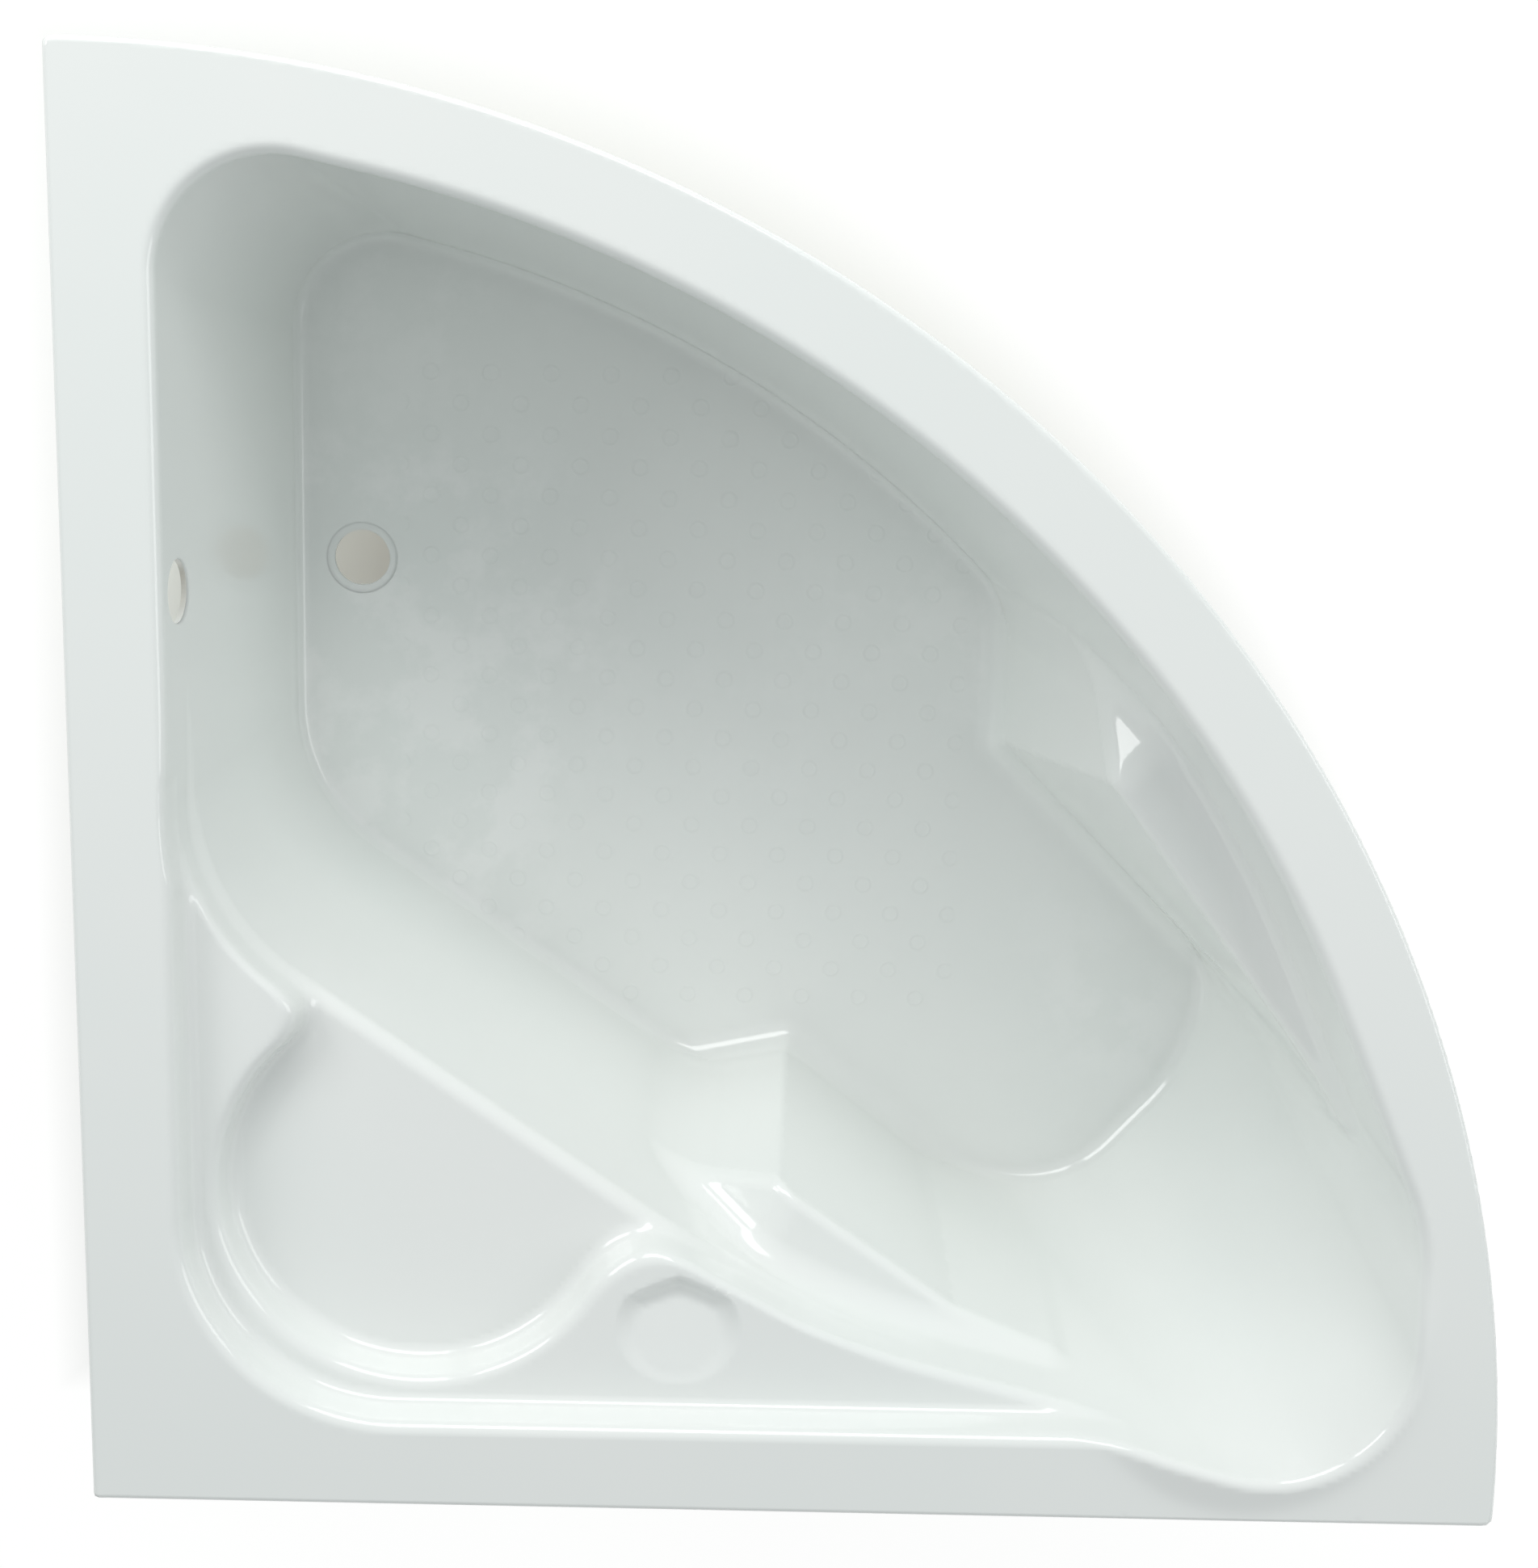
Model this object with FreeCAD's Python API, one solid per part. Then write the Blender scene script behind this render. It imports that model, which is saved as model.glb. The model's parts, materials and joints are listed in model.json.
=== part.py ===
# Corner bathtub, 1200 x 1200 mm, quarter-circle plan, moulded acrylic on a steel leg set.
# All dimensions in millimetres. The rim's wall corner stands at (-600, 600), the two wall
# sides run along x = -600 and y = 600, and the bowed front faces +x and -y.
# z = 0 is the room floor, RIM_Z the top face of the rim.
import math
import os

import FreeCAD
import Part

os.makedirs("parts", exist_ok=True)

# ---------------------------------------------------------------- driving dimensions
SIDE = 1200.0            # length of each wall side, and the radius of the bowed front
RIM_Z = 570.0            # height of the rim's top face above the floor
DEPTH = 400.0            # rim to bath floor
SKIN = 5.0               # acrylic thickness
SKIN_GAP = 0.3           # resin line between acrylic and glassfibre
GLASS = 3.0              # glassfibre thickness
LIP = 38.0               # height of the turned-down lip
LIP_EDGE_R = 5.0         # rounding of the lip's top edge
TIP_R = 7.0              # rounding of the two pointed ends in plan
ABOVE = 40.0             # how far cutting bodies run past the rim

TRAY_DEPTH = 35.0        # rim to the corner ledge
TRAY_DRAFT = 8.0         # how far the ledge's outer wall leans in over its depth
SHELF_DEPTH = 70.0       # rim to the round shelf
SHELF_X = 272.0          # centre of the round shelf from the left wall side
SHELF_Y = -276.0         # and from the back wall side
SHELF_R = 172.0          # radius of the shelf at the ledge's level
SHELF_DRAFT = 9.0        # how much smaller the shelf is at its own floor
SHELF_ABOVE = 15.0       # how far the shelf's cutting cone runs past the ledge

ARM_DEPTH = 105.0        # rim to the armrests' tops
ARM_SLOPE = 37.0         # angle of the armrests' sloped ends to the level, degrees

WASTE_X = 767.0          # waste hole, from the left wall side
WASTE_Y = -187.0         # and from the back wall side
WASTE_R = 26.0           # 52 mm hole
RECESS_R = 33.5          # shallow seat round the waste hole
RECESS_DEPTH = 2.5
OVERFLOW_X = 777.0       # overflow hole, from the left wall side
OVERFLOW_DEPTH = 48.0    # below the rim
BUMP_X = 160.0           # headrest swelling of the rim, from the left wall side
BUMP_Y = -985.0          # and from the back wall side
BUMP_REACH = 150.0       # radius of the swelling in plan
BUMP_R = 489.5           # radius of its domed top
DISH_X = 152.0           # soap dish in the ledge
DISH_Y = -495.0
DISH_PLAN_R = 52.0
DISH_DEPTH = 11.0
BATTEN_W = 45.0          # rim battens
BATTEN_T = 22.0
BATTEN_OFF = 12.0        # battens' distance from the wall planes
BACK_BATTEN = (80.0, 1090.0)     # its ends along the back wall side
LEFT_BATTEN = (80.0, 835.0)      # and along the left wall side
GUSSET = 79.5            # legs of the corner gusset
GUSSET_CUT = 39.5        # its cut-off corner
RAIL_IN = 1157.0         # front rail, inner and outer radius
RAIL_OUT = 1192.0
RAIL_FROM = -7.0         # its ends, degrees round the wall corner
RAIL_TO = -82.0
RAIL_STEPS = 3           # corners of the wedge that trims it
BOARD_T = 18.0           # baseboard
BOARD_GAP = 0.2          # bedding between board and glassfibre
BOARD_INSET = 34.0       # baseboard's edge inside the basin outline
BOARD_WASTE_R = 60.0     # its cut-out round the waste
WASTE_FREE = 6.0         # glassfibre kept back from the waste and overflow holes
BAR = 30.0               # square tube of the leg bars
BAR_WALL = 2.0
BAR_MARGIN = 28.0        # bar left beyond each foot rod
ROD_HOLE_FREE = 0.6      # clearance of the rods in the bars
SCREW_HOLE_FREE = 0.3    # clearance of the screws in the bars
CAP_T = 3.0              # end caps: plate, plug length and plug clearance
CAP_PLUG = 10.0
CAP_FREE = 0.1
SCREW_R = 2.5            # bar screws
SCREW_BITE = 13.0        # depth of their pilot holes in the baseboard
SCREW_SHORT = 0.5        # pilot left below each screw's point
SCREW_HEAD_R = 6.0
SCREW_HEAD_H = 3.0
THREAD_FREE = 0.02       # clearance of wood screws in their pilots
ROD_R = 6.0              # M12 foot rods
ROD_LOW = 6.0            # rod's lower end above the floor
ROD_TOP = 162.0
ROD_CHAMFER = 1.0
NUT_FLATS = 18.0
NUT_H = 10.0             # weld nuts
LOCK_H = 6.0             # lock nuts
DRIVE_FLATS = 17.0       # hexagon that turns a rod
DRIVE_H = 7.0
PAD_R = 32.0             # foot pads: rim, shoulder and heights
PAD_H = 14.0
PAD_EDGE = 6.0
PAD_SHOULDER_R = 28.0
PAD_NECK_R = 14.0
BRACKET_W = 40.0         # wall brackets
BRACKET_T = 3.0
BRACKET_DEEP = 45.0
BRACKET_DROP = 62.0
BRACKET_OFF = 6.0        # their distance from the wall planes
SLOT_UP = 18.0           # slot above the bracket's lower end
SLOT_W = 7.0             # slot for the wall screw
SLOT_LENGTH = 16.0
PILOT_SIDE = 12.0        # bracket screws, to each side of the bracket's middle
PILOT_DEEP = 32.0        # and from the wall plane
SMALL_R = 2.0            # bracket screws
SMALL_HOLE_R = 2.3
SMALL_HEAD_R = 4.5
SMALL_HEAD_H = 2.4
SMALL_BITE = 13.0
FREE = 0.05              # running clearance of a rod in its nut
FLOOR_R = 12.0           # rounding between walls and bath floor
FLOOR_STEPS = 4          # facets of that rounding

# Basin outline, from the wall corner: one row per corner of the outline, as
# (x, y, radius) at the rim and (x, y, radius) at the bath floor.
BASIN = [
    ((500.8, -78.0, 200.0), (538.3, -127.0, 170.0)),
    ((1139.7, -78.0, 93.0), (1090.7, -127.0, 88.0)),
    ((986.5, -798.9, 1131.0), (949.9, -691.4, 1089.0)),
    ((260.5, -1122.0, 200.0), (470.0, -990.0, 300.0)),
    ((42.0, -1122.0, 112.0), (325.0, -1036.0, 190.0)),
    ((42.0, -986.6, 150.0), (150.0, -886.0, 120.0)),
    ((132.8, -647.9, 600.0), (180.0, -668.0, 500.0)),
    ((225.0, -479.4, 600.0), (276.4, -508.0, 500.0)),
]

# Corner ledge outline at its upper edge, clockwise from the wall corner, as (x, y, radius).
TRAY = [
    (74.5, -79.0, 180.0),
    (640.0, -79.0, 20.0),
    (640.0, -300.0, 20.0),
    (200.0, -900.0, 20.0),
    (74.5, -900.0, 20.0),
]

# Rounded tips of the ledge between the round shelf and the basin: centre of the rounding, a
# point straight across the basin's edge from it, and the tip before it is rounded.
LEDGE_TIPS = [
    ((424.2, -117.0), (608.0, -279.7), (422.0, -203.0), 48.0),
    ((141.7, -486.0), (229.2, -534.3), (258.3, -442.9), 75.0),
]

# Armrest outlines, clockwise from the corner nearest the waste: at the top, then at the bath
# floor. The far corners lie outside the basin.
ARM_LEFT_TOP = [
    (256.6, -583.5),
    (145.0, -744.6),
    (105.0, -830.0),
    (-60.0, -850.0),
    (-60.0, -420.0),
    (229.0, -452.0),
]
ARM_LEFT_LOW = [
    (298.0, -603.0),
    (185.0, -747.8),
    (120.0, -840.0),
    (-60.0, -850.0),
    (-60.0, -420.0),
    (264.8, -446.0),
]
ARM_RIGHT_TOP = [
    (622.0, -857.0),
    (900.0, -857.0),
    (960.0, -1000.0),
    (700.0, -1260.0),
    (320.0, -1084.0),
    (390.8, -1030.2),
]
ARM_RIGHT_LOW = [
    (603.0, -797.0),
    (900.0, -797.0),
    (960.0, -1000.0),
    (700.0, -1260.0),
    (335.0, -1085.0),
    (407.0, -997.0),
]
# Sloped end of each armrest: a point of its crest, and the way down.
ARM_LEFT_SLOPE = ((247.9, -596.1), (0.470, 0.882))
ARM_RIGHT_SLOPE = ((618.4, -858.7), (0.643, 0.766))
ARMS = [
    (ARM_LEFT_TOP, ARM_LEFT_LOW, ARM_LEFT_SLOPE),
    (ARM_RIGHT_TOP, ARM_RIGHT_LOW, ARM_RIGHT_SLOPE),
]

# Feet of the leg bars, from the wall corner. The corner bar has one foot and ends under the basin.
BAR_TOP = -DEPTH - SKIN - SKIN_GAP - GLASS - BOARD_GAP - BOARD_T
FEET = {
    "foot_end": [(390.0, -103.0), (1016.0, -534.0)],
    "backrest": [(75.0, -624.0), (602.0, -987.0)],
    "corner": [(130.0, -130.0)],
}
CORNER_BAR_END = (500.0, -500.0)
# Screws through each bar into the baseboard, as shares of the bar's length.
SCREW_SHARES = {
    "foot_end": (0.36, 0.5, 0.64, 0.76),
    "backrest": (0.46, 0.58, 0.68),
    "corner": (0.78, 0.93),
}
BRACKETS_BACK = (300.0, 900.0)       # wall brackets, x on the back wall side
BRACKETS_LEFT = (-300.0, -700.0)     # and y on the left wall side


def outline(level, grow):
    """Corners of the basin outline at a depth below the rim, moved outwards by grow."""
    t = level / DEPTH
    rows = []
    for top, low in BASIN:
        x = top[0] + (low[0] - top[0]) * t
        y = top[1] + (low[1] - top[1]) * t
        r = top[2] + (low[2] - top[2]) * t
        rows.append((x, y, r))
    return offset_corners(rows, grow)


def offset_corners(rows, grow):
    """Move every side of a clockwise outline outwards by grow, keeping its roundings concentric."""
    count = len(rows)
    result = []
    for i in range(count):
        ax, ay, _ = rows[i - 1]
        bx, by, br = rows[i]
        cx, cy, _ = rows[(i + 1) % count]
        d1 = unit(bx - ax, by - ay)
        d2 = unit(cx - bx, cy - by)
        n1 = (-d1[1], d1[0])
        n2 = (-d2[1], d2[0])
        px = bx + n1[0] * grow
        py = by + n1[1] * grow
        qx = bx + n2[0] * grow
        qy = by + n2[1] * grow
        cross = d1[0] * d2[1] - d1[1] * d2[0]
        s = ((qx - px) * d2[1] - (qy - py) * d2[0]) / cross
        radius = br + grow if cross < 0 else max(br - grow, 0.5)
        result.append((px + d1[0] * s, py + d1[1] * s, radius))
    return result


def unit(x, y):
    length = math.hypot(x, y)
    return (x / length, y / length)


def place(x, y, z):
    """A point given from the wall corner and the rim's top face, in the part's frame."""
    return FreeCAD.Vector(x - SIDE / 2, y + SIDE / 2, RIM_Z + z)


def rounded_wire(rows, z):
    """Closed wire through the rounded corners of an outline."""
    count = len(rows)
    firsts = []
    lasts = []
    mids = []
    for i in range(count):
        bx, by, br = rows[i]
        first = tangent_point(rows[i], rows[i - 1], rows[(i + 1) % count])
        last = tangent_point(rows[i], rows[(i + 1) % count], rows[i - 1])
        u = unit(first[0] - bx, first[1] - by)
        v = unit(last[0] - bx, last[1] - by)
        half = math.acos(u[0] * v[0] + u[1] * v[1]) / 2
        w = unit(u[0] + v[0], u[1] + v[1])
        back = br / math.sin(half) - br
        firsts.append(place(first[0], first[1], z))
        lasts.append(place(last[0], last[1], z))
        mids.append(place(bx + w[0] * back, by + w[1] * back, z))
    edges = []
    for i in range(count):
        edges.append(Part.Arc(firsts[i], mids[i], lasts[i]).toShape())
        edges.append(Part.LineSegment(lasts[i], firsts[(i + 1) % count]).toShape())
    return Part.Wire(edges)


def tangent_point(corner, towards, other):
    """Where the rounding of a corner touches the side that leads to another corner."""
    u = unit(towards[0] - corner[0], towards[1] - corner[1])
    v = unit(other[0] - corner[0], other[1] - corner[1])
    half = math.acos(u[0] * v[0] + u[1] * v[1]) / 2
    reach = corner[2] / math.tan(half)
    return (corner[0] + u[0] * reach, corner[1] + u[1] * reach)


def ring_loft(rings):
    """Solid through closed outlines given as (corners, z), straight from each to the next."""
    return Part.makeLoft([rounded_wire(rows, z) for rows, z in rings], True, True)


def basin_loft(grow):
    """The basin as a solid, from above the rim down to the bath floor."""
    rings = [(outline(-ABOVE, grow), ABOVE)]
    radius = FLOOR_R + grow
    for k in range(FLOOR_STEPS + 1):
        angle = math.pi / 2 * k / FLOOR_STEPS
        inset = radius * (1 - math.cos(angle))
        z = -DEPTH - grow + radius * (1 - math.sin(angle))
        rings.append((outline(-z, grow - inset), z))
    return ring_loft(rings)


def polygon_wire(points, z):
    """Closed wire of straight sides."""
    vectors = [place(x, y, z) for x, y in points]
    return Part.makePolygon(vectors + [vectors[0]])


def arm_block(top, low, slope, grow):
    """An armrest as the solid left standing in the basin; grow thins it from every side."""
    rings = []
    levels = [-ARM_DEPTH - grow, -DEPTH - grow + FLOOR_R]
    for k in range(1, FLOOR_STEPS + 1):
        angle = math.pi / 2 * k / FLOOR_STEPS
        levels.append(-DEPTH - grow + FLOOR_R * (1 - math.sin(angle)))
    levels.append(-DEPTH - 3 * grow - ABOVE)
    for k, z in enumerate(levels):
        t = (-z - ARM_DEPTH) / (DEPTH - ARM_DEPTH)
        flare = 0.0
        if k > 1:
            step = min(k - 1, FLOOR_STEPS)
            flare = FLOOR_R * (1 - math.cos(math.pi / 2 * step / FLOOR_STEPS))
            t = min(t, 1.0)
        rows = []
        for p, q in zip(top, low):
            rows.append((p[0] + (q[0] - p[0]) * t, p[1] + (q[1] - p[1]) * t, 1.0))
        moved = offset_corners(rows, flare - grow)
        rings.append(polygon_wire([(x, y) for x, y, _ in moved], z))
    block = Part.makeLoft(rings, True, True)
    return block.cut(slope_cutter(slope, grow))


def slope_cutter(slope, grow):
    """Everything above the sloped end of an armrest."""
    point, way = slope
    angle = math.radians(ARM_SLOPE)
    size = SIDE * 0.75
    box = Part.makeBox(size, size, size, FreeCAD.Vector(-size / 2, -size / 2, 0))
    along = FreeCAD.Vector(-way[1], way[0], 0)
    turn = FreeCAD.Rotation(along, math.degrees(angle))
    up = turn.multVec(FreeCAD.Vector(0, 0, 1))
    if up.x * way[0] + up.y * way[1] < 0:
        turn = FreeCAD.Rotation(along, -math.degrees(angle))
        up = turn.multVec(FreeCAD.Vector(0, 0, 1))
    base = place(point[0], point[1], -ARM_DEPTH) - up * grow
    box.Placement = FreeCAD.Placement(base, turn)
    return box


def tray_body(grow):
    """The corner ledge's recess."""
    lean = TRAY_DRAFT / TRAY_DEPTH
    upper = offset_corners(TRAY, grow + lean * ABOVE)
    lower = offset_corners(TRAY, grow - lean * (TRAY_DEPTH + grow))
    return ring_loft([(upper, ABOVE), (lower, -TRAY_DEPTH - grow)])


def shelf_body(grow):
    """The round shelf's recess, a shallow cone."""
    lean = SHELF_DRAFT / (SHELF_DEPTH - TRAY_DEPTH)
    top_z = -TRAY_DEPTH + SHELF_ABOVE
    top_r = SHELF_R + lean * SHELF_ABOVE + grow
    low_z = -SHELF_DEPTH - grow
    low_r = SHELF_R - lean * (SHELF_DEPTH - TRAY_DEPTH + grow) + grow
    return Part.makeCone(low_r, top_r, top_z - low_z, place(SHELF_X, SHELF_Y, low_z))


def tip_body(tip, grow):
    """What is taken off a tip of the ledge so that the shelf flares into the basin."""
    centre, across, corner, radius = tip
    low_z = -SHELF_DEPTH - grow
    height = -TRAY_DEPTH + SHELF_ABOVE - low_z
    lean = SHELF_DRAFT / (SHELF_DEPTH - TRAY_DEPTH)
    points = [centre]
    for aim in ((SHELF_X, SHELF_Y), corner, across):
        way = unit(aim[0] - centre[0], aim[1] - centre[1])
        reach = 1.4 * radius
        points.append((centre[0] + way[0] * reach, centre[1] + way[1] * reach))
    points[2] = corner
    block = Part.Face(polygon_wire(points, low_z)).extrude(FreeCAD.Vector(0, 0, height))
    low_r = radius - grow + lean * (SHELF_DEPTH - TRAY_DEPTH + grow)
    top_r = radius - grow - lean * SHELF_ABOVE
    return block.cut(Part.makeCone(low_r, top_r, height, place(centre[0], centre[1], low_z)))


def dish_body(grow):
    """The soap dish, the lower cap of a sphere."""
    radius = (DISH_PLAN_R ** 2 + DISH_DEPTH ** 2) / (2 * DISH_DEPTH)
    centre = place(DISH_X, DISH_Y, -TRAY_DEPTH - DISH_DEPTH + radius)
    ball = Part.makeSphere(radius + grow, centre)
    low = place(DISH_X, DISH_Y, -TRAY_DEPTH - DISH_DEPTH - 2 * grow - 5)
    keep = Part.makeCylinder(DISH_PLAN_R + 15, DISH_DEPTH + 2 * grow + 6, low)
    return ball.common(keep)


def hollow(grow):
    """Everything the moulding leaves open above it, grown outwards by grow."""
    basin = basin_loft(grow)
    for top, low, slope in ARMS:
        basin = basin.cut(arm_block(top, low, slope, grow))
    tips = [tip_body(tip, grow) for tip in LEDGE_TIPS]
    return basin.fuse([tray_body(grow), shelf_body(grow), dish_body(grow)] + tips)


def box_between(x0, y0, z0, x1, y1, z1):
    """Box between two corners given from the wall corner and the rim's top face."""
    low = place(min(x0, x1), min(y0, y1), min(z0, z1))
    return Part.makeBox(abs(x1 - x0), abs(y1 - y0), abs(z1 - z0), low)


def sector(inset, z0, z1):
    """Quarter-circle plan of the whole bath, moved inwards by inset, from z0 up to z1."""
    radius = SIDE - inset
    reach = math.sqrt(radius ** 2 - inset ** 2)
    mid = radius * math.cos(math.pi / 4)
    corner = place(inset, -inset, z0)
    right = place(reach, -inset, z0)
    left = place(inset, -reach, z0)
    edges = [Part.LineSegment(corner, right).toShape()]
    edges.append(Part.Arc(right, place(mid, -mid, z0), left).toShape())
    edges.append(Part.LineSegment(left, corner).toShape())
    prism = Part.Face(Part.Wire(edges)).extrude(FreeCAD.Vector(0, 0, z1 - z0))
    tips = [e for e in prism.Edges if is_upright(e) and not near_corner(e)]
    return prism.makeFillet(max(TIP_R - inset, TIP_R - SKIN), tips)


def is_upright(edge):
    return edge.BoundBox.XLength < 0.01 and edge.BoundBox.YLength < 0.01


def near_corner(edge):
    return edge.BoundBox.XMin < -SIDE / 4 and edge.BoundBox.YMin > SIDE / 4


def bump_cap(shrink, z0):
    """The headrest swelling, the top of a large sphere above z0."""
    z = -math.sqrt(BUMP_R ** 2 - BUMP_REACH ** 2)
    ball = Part.makeSphere(BUMP_R - shrink, place(BUMP_X, BUMP_Y, z))
    keep = box_between(-10, -1210, z0, 400, -700, ABOVE)
    return ball.common(keep)


def lid():
    """Rim plate with its turned-down lip and the headrest swelling."""
    outer = sector(0.0, -LIP, 0.0)
    rim_edges = [e for e in outer.Edges if e.BoundBox.ZMin > RIM_Z - 0.01]
    outer = outer.makeFillet(LIP_EDGE_R, rim_edges)
    inner = sector(SKIN, -LIP - 1, -SKIN)
    plate = outer.cut(inner).fuse(bump_cap(0.0, -0.5))
    return plate.cut(bump_cap(SKIN, -SKIN - 0.5))


def tilted_cylinder(radius):
    """Bore through the back wall of the basin, square to the wall."""
    rim_y = BASIN[0][0][1]
    floor_y = BASIN[0][1][1]
    lean = math.atan((rim_y - floor_y) / DEPTH)
    axis = FreeCAD.Vector(0, -math.cos(lean), math.sin(lean))
    centre = place(OVERFLOW_X, rim_y - OVERFLOW_DEPTH * math.tan(lean), -OVERFLOW_DEPTH)
    return Part.makeCylinder(radius, 60, centre - axis * 30, axis)


def upright_cylinder(x, y, radius, z0, z1):
    return Part.makeCylinder(radius, z1 - z0, place(x, y, z0))


def acrylic_shell(inner, outer):
    keep = box_between(-100, -1300, -DEPTH - 60, 1300, 100, -SKIN / 2)
    walls = outer.common(keep.fuse(bump_cap(SKIN / 2, -SKIN / 2 - 1)))
    shell = lid().fuse(walls).cut(inner)
    shell = shell.cut(upright_cylinder(WASTE_X, WASTE_Y, WASTE_R, -DEPTH - 50, -DEPTH + 10))
    seat = upright_cylinder(WASTE_X, WASTE_Y, RECESS_R, -DEPTH - RECESS_DEPTH, -DEPTH + 5)
    return shell.cut([seat, tilted_cylinder(WASTE_R)])


def glassfibre_backing():
    keep = box_between(-100, -1300, -DEPTH - 60, 1300, 100, -SKIN - SKIN_GAP)
    skin = hollow(SKIN + SKIN_GAP + GLASS).cut(hollow(SKIN + SKIN_GAP)).common(keep)
    radius = WASTE_R + WASTE_FREE
    skin = skin.cut(upright_cylinder(WASTE_X, WASTE_Y, radius, -DEPTH - 50, -DEPTH + 10))
    return skin.cut(tilted_cylinder(radius))


def baseboard():
    """Board under the bath floor, cut round the armrests and the waste."""
    rows = outline(DEPTH, -BOARD_INSET)
    board = Part.Face(rounded_wire(rows, BAR_TOP)).extrude(FreeCAD.Vector(0, 0, BOARD_T))
    for _, low, _ in ARMS:
        rows = offset_corners([(x, y, 1.0) for x, y in low], BOARD_INSET)
        cutter = Part.Face(polygon_wire([(x, y) for x, y, _ in rows], BAR_TOP - 5))
        board = board.cut(cutter.extrude(FreeCAD.Vector(0, 0, BOARD_T + 10)))
    high = BAR_TOP + BOARD_T + 5
    cutters = [upright_cylinder(WASTE_X, WASTE_Y, BOARD_WASTE_R, BAR_TOP - 5, high)]
    for x, y in screw_places():
        cutters.append(upright_cylinder(x, y, SCREW_R, BAR_TOP - 1, BAR_TOP + SCREW_BITE))
    return board.cut(cutters)


def bar_ends(name):
    """The two ends of a bar's centre line."""
    spots = FEET[name]
    first = spots[0]
    last = spots[1] if len(spots) > 1 else CORNER_BAR_END
    d = unit(last[0] - first[0], last[1] - first[1])
    tail = BAR_MARGIN if len(spots) > 1 else 0.0
    start = (first[0] - d[0] * BAR_MARGIN, first[1] - d[1] * BAR_MARGIN)
    end = (last[0] + d[0] * tail, last[1] + d[1] * tail)
    return start, end


def screw_places():
    """Screws that hold the bars to the baseboard, spread along each bar."""
    places = []
    for name, shares in SCREW_SHARES.items():
        start, end = bar_ends(name)
        for t in shares:
            x = start[0] + (end[0] - start[0]) * t
            y = start[1] + (end[1] - start[1]) * t
            places.append((x, y))
    return places


def heading(start, end):
    """Turn about the upright that carries +x onto the way from start to end."""
    angle = math.degrees(math.atan2(end[1] - start[1], end[0] - start[0]))
    return FreeCAD.Rotation(FreeCAD.Vector(0, 0, 1), angle)


def leg_bar(name):
    """Square steel tube with clearance holes for its foot rods and screws."""
    start, end = bar_ends(name)
    length = math.dist(start, end)
    outer = Part.makeBox(length, BAR, BAR, FreeCAD.Vector(0, -BAR / 2, -BAR))
    bore = BAR - 2 * BAR_WALL
    inner = Part.makeBox(length + 2, bore, bore, FreeCAD.Vector(-1, -bore / 2, -BAR + BAR_WALL))
    tube = outer.cut(inner)
    tube.Placement = FreeCAD.Placement(place(start[0], start[1], BAR_TOP), heading(start, end))
    low = BAR_TOP - BAR - 5
    cutters = []
    for x, y in FEET[name]:
        cutters.append(upright_cylinder(x, y, ROD_R + ROD_HOLE_FREE, low, BAR_TOP + 5))
    for x, y in screw_places():
        cutters.append(upright_cylinder(x, y, SCREW_R + SCREW_HOLE_FREE, low, BAR_TOP + 5))
    return tube.cut(cutters)


def end_caps():
    """Plastic plugs in the open ends of the three bars."""
    caps = []
    plug_w = BAR - 2 * BAR_WALL - 2 * CAP_FREE
    for name in FEET:
        start, end = bar_ends(name)
        for here, there in ((start, end), (end, start)):
            plate = Part.makeBox(CAP_T, BAR, BAR, FreeCAD.Vector(0, -BAR / 2, -BAR))
            low = FreeCAD.Vector(-CAP_PLUG, -plug_w / 2, -(BAR + plug_w) / 2)
            cap = plate.fuse(Part.makeBox(CAP_PLUG, plug_w, plug_w, low))
            cap.Placement = FreeCAD.Placement(place(here[0], here[1], BAR_TOP), heading(there, here))
            caps.append(cap)
    return Part.makeCompound(caps)


def bar_screws():
    screws = []
    low = BAR_TOP - BAR - SCREW_HEAD_H
    for x, y in screw_places():
        head = upright_cylinder(x, y, SCREW_HEAD_R, low, low + SCREW_HEAD_H)
        high = BAR_TOP + SCREW_BITE - SCREW_SHORT
        screws.append(head.fuse(upright_cylinder(x, y, SCREW_R - THREAD_FREE, low, high)))
    return Part.makeCompound(screws)


def hexagon(x, y, flats, z0, z1, bore):
    """Nut with its flats a given distance apart."""
    radius = flats / math.sqrt(3)
    points = []
    for k in range(6):
        angle = math.radians(60 * k)
        points.append((x + radius * math.cos(angle), y + radius * math.sin(angle)))
    body = Part.Face(polygon_wire(points, z0)).extrude(FreeCAD.Vector(0, 0, z1 - z0))
    return body.cut(upright_cylinder(x, y, bore, z0 - 1, z1 + 1))


def all_feet():
    spots = []
    for name in FEET:
        spots += FEET[name]
    return spots


def nuts(top, height):
    """One nut round each foot rod, hanging down from a level."""
    bore = ROD_R + FREE
    return Part.makeCompound([hexagon(x, y, NUT_FLATS, top - height, top, bore) for x, y in all_feet()])


def weld_nuts():
    return nuts(BAR_TOP - BAR, NUT_H)


def lock_nuts():
    return nuts(BAR_TOP - BAR - NUT_H, LOCK_H)


def foot_rod(x, y):
    """Threaded rod, drawn at its outside diameter, with a turning hexagon above the pad."""
    rod = upright_cylinder(x, y, ROD_R, ROD_LOW - RIM_Z, ROD_TOP - RIM_Z)
    rod = rod.makeChamfer(ROD_CHAMFER, [e for e in rod.Edges if e.BoundBox.ZMin > ROD_TOP - 0.1])
    low = PAD_H + 1 - RIM_Z
    drive = hexagon(x, y, DRIVE_FLATS, low, low + DRIVE_H, ROD_R / 2)
    return rod.fuse(drive)


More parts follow.
